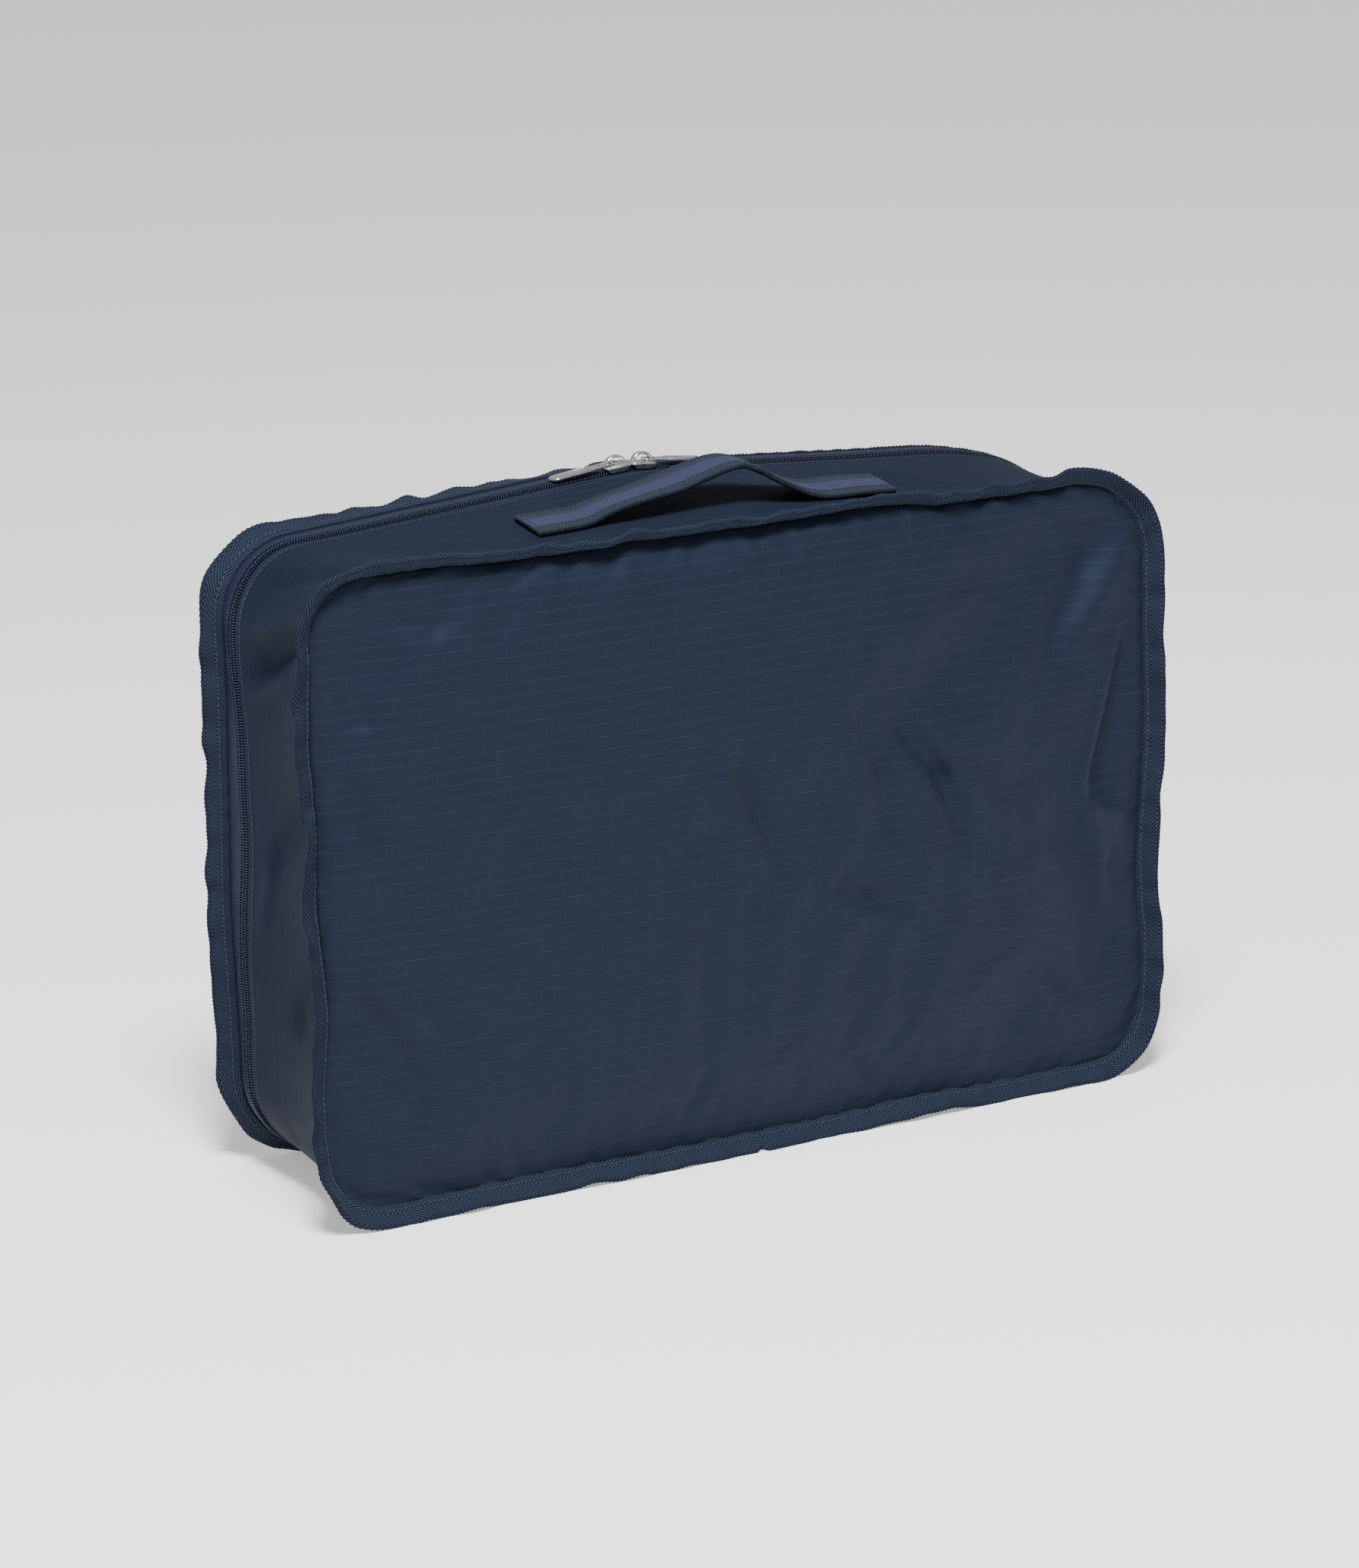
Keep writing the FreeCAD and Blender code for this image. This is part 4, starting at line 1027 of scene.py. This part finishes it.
def slider(side):
    """The slider's body of plates, side walls and post, and the bridge that holds the pull."""
    word = "right" if side > 0 else "left"
    matrix = slider_matrix(side)
    shape = rounded(mirrored([(-6.9, -4.7), (-1.5, -4.9), (4.2, -3.7), (6.6, -3.3)]), 1.6)
    raised = rounded(mirrored([(-6.0, -3.7), (-1.5, -3.9), (3.8, -2.8), (5.6, -2.4)]), 1.4)
    wall = rounded([(-4.8, -1.35), (4.6, -1.35), (5.6, 0.2), (5.6, 1.1), (-5.6, 1.1),
                    (-5.6, 0.2)], 0.7)
    stem = rounded(mirrored([(-6.6, -0.24), (-4.2, -0.24)]), 0.1)
    parts = [plate("slider_top", shape, 0.25, 1.45, 0.35, matrix),
             plate("slider_crest", raised, 1.3, 1.85, 0.25, matrix),
             plate("slider_lower", shape, -3.9, -2.95, 0.3, matrix)]
    for lateral in (-4.15, 4.15):
        upright = (matrix @ Matrix.Translation((0, lateral * MM, 0))
                   @ Matrix.Rotation(math.pi / 2, 4, "X"))
        parts.append(plate("slider_wall", wall, -0.4, 0.4, 0.2, upright))
    parts.append(plate("slider_post", stem, -3.2, 0.6, 0.05, matrix))
    body = join(f"slider_{word}_body", parts)
    finish_piece(body, f"slider_{word}", "slider_metal", f"slider_body_{word}")
    turns = np.linspace(-0.12, math.pi + 0.12, 25)
    rise = np.sin(turns)
    rise = np.where(rise > 0, np.abs(rise) ** 0.85, rise)
    path = np.column_stack([-5.0 * np.cos(turns), np.zeros(len(turns)), 1.2 + 4.55 * rise])
    lean = np.sin(np.clip(turns, 0, math.pi))
    bridge = tube(f"slider_{word}_bridge", path, 3.9 - 0.9 * lean, 1.75 - 0.25 * lean, matrix)
    finish_piece(bridge, f"slider_{word}", "slider_metal", f"slider_bridge_{word}")


def pull(side):
    """The pull tab: a blade with a window at the bridge and a rim round its recess."""
    word = "right" if side > 0 else "left"
    pivot = Matrix.Translation((PIVOT_OUT * MM, 0, PIVOT_UP * MM))
    matrix = slider_matrix(side) @ pivot @ Matrix.Rotation(PULL_TILT, 4, "Y")
    tip, half = 30.0, 4.0
    top, recess, rim_edge = 0.42, half - 0.95, half - 0.15
    outer = arc(tip, half, 1.45, 17) + mirrored(
        [(11.5, half), (9.6, 3.3), (8.8, 3.2), (0.2, 3.2), (-0.55, 2.7), (-0.75, 2.0)])
    window = rounded(mirrored([(0.75, -1.85), (7.6, -1.85)]), 0.7)
    hole = arc(tip, recess, math.pi / 2, 15) + mirrored([(13.6, recess), (13.0, recess - 0.6)])
    edge = arc(tip, rim_edge, math.pi / 2, 17) + mirrored([(11.9, rim_edge), (11.2, half - 0.9)])
    blade = plate("pull_blade", outer, -0.62, top, 0.28, matrix, [window])
    rim = plate("pull_rim", edge, top - 0.1, top + 0.32, 0.12, matrix, [hole])
    tab = join(f"pull_{word}_tab", [blade, rim])
    finish_piece(tab, f"pull_{word}", "slider_metal", f"pull_tab_{word}")


# ---------- handle
# Middle line of the webbing: x, y, z, and how its back edge tips up (degrees) and turns
# about the vertical (degrees).
STRAP_LINE = [
    (-92.5, -11.0, 313.4, 5, 4), (-80, -11.2, 314.0, 5, 3), (-70, -11.6, 314.3, 4, 2),
    (-64.5, -11.9, 314.9, 2, 1), (-57, -12.2, 317.3, 0, 0), (-45, -13.0, 320.4, 0, -2),
    (-32, -13.6, 323.0, 2, -4), (-18, -14.0, 325.8, 5, -5), (-5, -14.2, 329.4, 4, -4),
    (6, -14.4, 332.0, 2, -2), (15, -14.8, 332.4, 0, 0), (23, -15.6, 329.6, 3, 4),
    (31, -16.8, 325.0, 6, 6), (40, -18.2, 320.2, 6, 5), (49, -19.4, 316.2, 5, 3),
    (56, -20.0, 314.6, 5, 2), (63, -20.4, 314.3, 6, 2), (72, -20.6, 314.3, 6, 1),
    (84, -20.8, 313.7, 5, 1), (94, -21.0, 313.1, 5, 1),
]
STRAP_HALF = 13.6
RIBBON_HALF = 7.4


def spread(values, count):
    """A smooth curve through given rows, at evenly spaced places."""
    values = np.array(values, float)
    knots = run_along(values[:, :3])
    slopes = np.gradient(values, knots, axis=0)
    stops = np.linspace(0, knots[-1], count)
    k = np.clip(np.searchsorted(knots, stops, "right") - 1, 0, len(knots) - 2)
    width = (knots[k + 1] - knots[k])[:, None]
    t = (stops - knots[k])[:, None] / width
    h00, h10 = 2 * t ** 3 - 3 * t ** 2 + 1, t ** 3 - 2 * t ** 2 + t
    h01, h11 = -2 * t ** 3 + 3 * t ** 2, t ** 3 - t ** 2
    curve = (h00 * values[k] + h10 * width * slopes[k] + h01 * values[k + 1]
             + h11 * width * slopes[k + 1])
    return curve, stops


def strap_frames(count):
    """The strap's middle line, its directions and the distance along it."""
    curve, run = spread(STRAP_LINE, count)
    centre = curve[:, :3]
    tip, turn = np.radians(curve[:, 3]), np.radians(curve[:, 4])
    ahead = unit(np.gradient(centre, axis=0))
    side = np.column_stack([-np.sin(turn), np.cos(turn) * np.cos(tip), np.sin(tip)])
    side = unit(side - ahead * np.sum(side * ahead, axis=1, keepdims=True))
    up = np.cross(ahead, side)
    return centre, ahead, side, up, run


def halves(centre):
    """Rows of the left and the right half, which meet at the top of the arch."""
    split = int(np.argmax(centre[:, 2]))
    return ("left", slice(0, split + 1)), ("right", slice(split, None))


def strap_band(name, half, low, high, material, slot, sections, scallop=0.0):
    """The webbing or the ribbon in two halves. scallop makes its edges and faces ribbed."""
    centre, _, side, up, run = strap_frames(560)
    across = np.linspace(-half, half, 24)
    edge = np.abs(across) / half
    swell = 1 + scallop * np.clip(edge - 0.6, 0, 0.3) / 0.3 - 0.45 * edge ** 10
    top = np.column_stack([across, high * swell])
    under = np.column_stack([across[::-1], low * swell])
    ring = np.vstack([top, under])
    cloth = run_along(ring)
    lean = np.abs(cloth[None, :] % (2 * STRAP_CHEVRON) - STRAP_CHEVRON)
    rib = np.sin(TAU * (run[:, None] - lean) / STRAP_RIB_PITCH)
    ragged = scallop * rib * (np.abs(ring[:, 0]) > half - 1.4)[None, :]
    sideways = ring[None, :, 0] + np.sign(ring[None, :, 0]) * ragged
    height = ring[None, :, 1] + 0.4 * scallop * rib * np.sign(ring[:, 1] - low - 1e-6)[None, :]
    grid = (centre[:, None, :] + sideways[..., None] * side[:, None, :]
            + height[..., None] * up[:, None, :])
    weave = cloth_places(grid, run[:, None], cloth[None, :])
    for (word, rows), nodes in zip(halves(centre), sections):
        piece = grid_mesh(f"{name}_{word}", grid[rows], material, weave[rows], closed=True)
        finish_piece(piece, None, slot, *nodes)
        bend_handle(piece)


def bend_handle(piece):
    """Bake the piece's transform into its mesh."""
    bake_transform(piece)


def strap_stitches():
    """Rows of stitches along the strap, and two across each sewn end."""
    centre, ahead, side, up, _ = strap_frames(420)
    line = np.linspace(-STRAP_HALF + 2, STRAP_HALF - 2, 12)
    lift = 1.45 - 0.5 * (np.abs(line) > RIBBON_HALF)
    for word, rows in halves(centre):
        paths = []
        for offset, height in ((-RIBBON_HALF + 0.9, 1.4), (RIBBON_HALF - 0.9, 1.4),
                               (-STRAP_HALF + 1.9, 0.95), (STRAP_HALF - 1.9, 0.95)):
            path = centre + offset * side + height * up
            paths.append((path[rows], side[rows], up[rows]))
        sewn = np.nonzero(centre[:, 0] < -66 if word == "left" else centre[:, 0] > 62)[0]
        for end in (sewn[5], sewn[-6]):
            bar = centre[end] + line[:, None] * side[end] + lift[:, None] * up[end]
            paths.append((bar, np.tile(ahead[end], (12, 1)), np.tile(up[end], (12, 1))))
        piece = stitch_row(f"handle_stitches_{word}", None, paths, [f"handle_stitch_{word}"],
                           2.6, 2.1, 0.5)
        bend_handle(piece)


def handle():
    strap_band("handle_webbing", STRAP_HALF, -1.1, 1.1, WEBBING, "handle_webbing",
               [["handle_end_left"], ["handle_end_right", "handle_strap"]], scallop=0.4)
    strap_band("handle_ribbon_band", RIBBON_HALF, 0.75, 1.35, RIBBON, "handle_ribbon",
               [["handle_ribbon_left"], ["handle_ribbon_right", "handle_ribbon"]])
    strap_stitches()


# ---------- zipper ends
def zipper_stops():
    """Dense bar tacks over the zipper's ends, on the underside."""
    template, faces = rod_template(8.5, 0.7, 0.7)
    for word in ("left", "right"):
        low, high = box_mm(f"zipper_stop_{word}")
        xs = np.arange(low[0] + 0.4, high[0], 0.62)
        origins = np.column_stack([xs, np.full(len(xs), (low[1] + high[1]) / 2),
                                   np.full(len(xs), high[2] - 0.2)])
        axes = [np.tile(axis, (len(xs), 1)) for axis in ((0, 1, 0), (1, 0, 0), (0, 0, -1))]
        points, quads = scatter(template, faces, origins, *axes)
        piece = new_mesh(f"zipper_bartack_{word}", points, quads, THREAD)
        finish_piece(piece, "case", "thread", f"zipper_stop_{word}")


# ---------- studio
def camera():
    """The view from the front left and above."""
    yaw, pitch, roll = math.radians(-28.07), math.radians(16.23), math.radians(-1.04)
    back = Vector((math.sin(yaw) * math.cos(pitch), -math.cos(yaw) * math.cos(pitch),
                   math.sin(pitch)))
    right = (-back).cross(Vector((0, 0, 1))).normalized()
    up = right.cross(-back)
    turned_right = math.cos(roll) * right + math.sin(roll) * up
    turned_up = -math.sin(roll) * right + math.cos(roll) * up
    data = bpy.data.cameras.new("camera")
    data.lens = 113.26
    data.sensor_width = 36
    data.clip_end = 50
    shot = add_object("camera", data)
    basis = Matrix((turned_right, turned_up, back)).transposed().to_4x4()
    shot.matrix_world = Matrix.Translation((-1.0873, -2.0227, 0.8399)) @ basis
    bpy.context.scene.camera = shot


def lamp(name, place, target, size, power):
    data = bpy.data.lights.new(name, "AREA")
    data.shape = "DISK"
    data.size = size
    data.energy = power
    direction = Vector(target) - Vector(place)
    add_object(name, data).matrix_world = (
        Matrix.Translation(place) @ direction.to_track_quat("-Z", "Y").to_matrix().to_4x4())


def sky():
    """A plain bright room, a little brighter overhead than at the horizon."""
    world = bpy.data.worlds.new("studio")
    world.use_nodes = True
    tree = world.node_tree
    background = tree.nodes["Background"]
    place = tree.nodes.new("ShaderNodeTexCoord")
    split = tree.nodes.new("ShaderNodeSeparateXYZ")
    ramp = tree.nodes.new("ShaderNodeMapRange")
    for key, value in (("From Min", 0.0), ("From Max", 0.9), ("To Min", 0.4), ("To Max", 0.45)):
        ramp.inputs[key].default_value = value
    tree.links.new(place.outputs["Generated"], split.inputs[0])
    tree.links.new(split.outputs["Z"], ramp.inputs["Value"])
    tree.links.new(ramp.outputs["Result"], background.inputs["Strength"])
    background.inputs["Color"].default_value = (1, 1, 1, 1)
    bpy.context.scene.world = world


def white_floor():
    white = Nodes("white_floor").surface(
        (0.88, 0.88, 0.88, 1), 0.7, Specular_IOR_Level=0.1, Emission_Color=(1, 1, 1, 1),
        Emission_Strength=0.4)
    mesh = bpy.data.meshes.new("floor")
    s = 12
    mesh.from_pydata([(-s, -s, 0), (s, -s, 0), (s, s, 0), (-s, s, 0)], [], [(0, 1, 2, 3)])
    mesh.materials.append(white)
    add_object("floor", mesh)


camera()
sky()
white_floor()
lamp("key", (-0.6, -1.25, 2.6), (0, 0, 0.15), 0.8, 190)
bindings()
panels()
zipper()
for turn in (-1, 1):
    slider(turn)
    pull(turn)
handle()
zipper_stops()
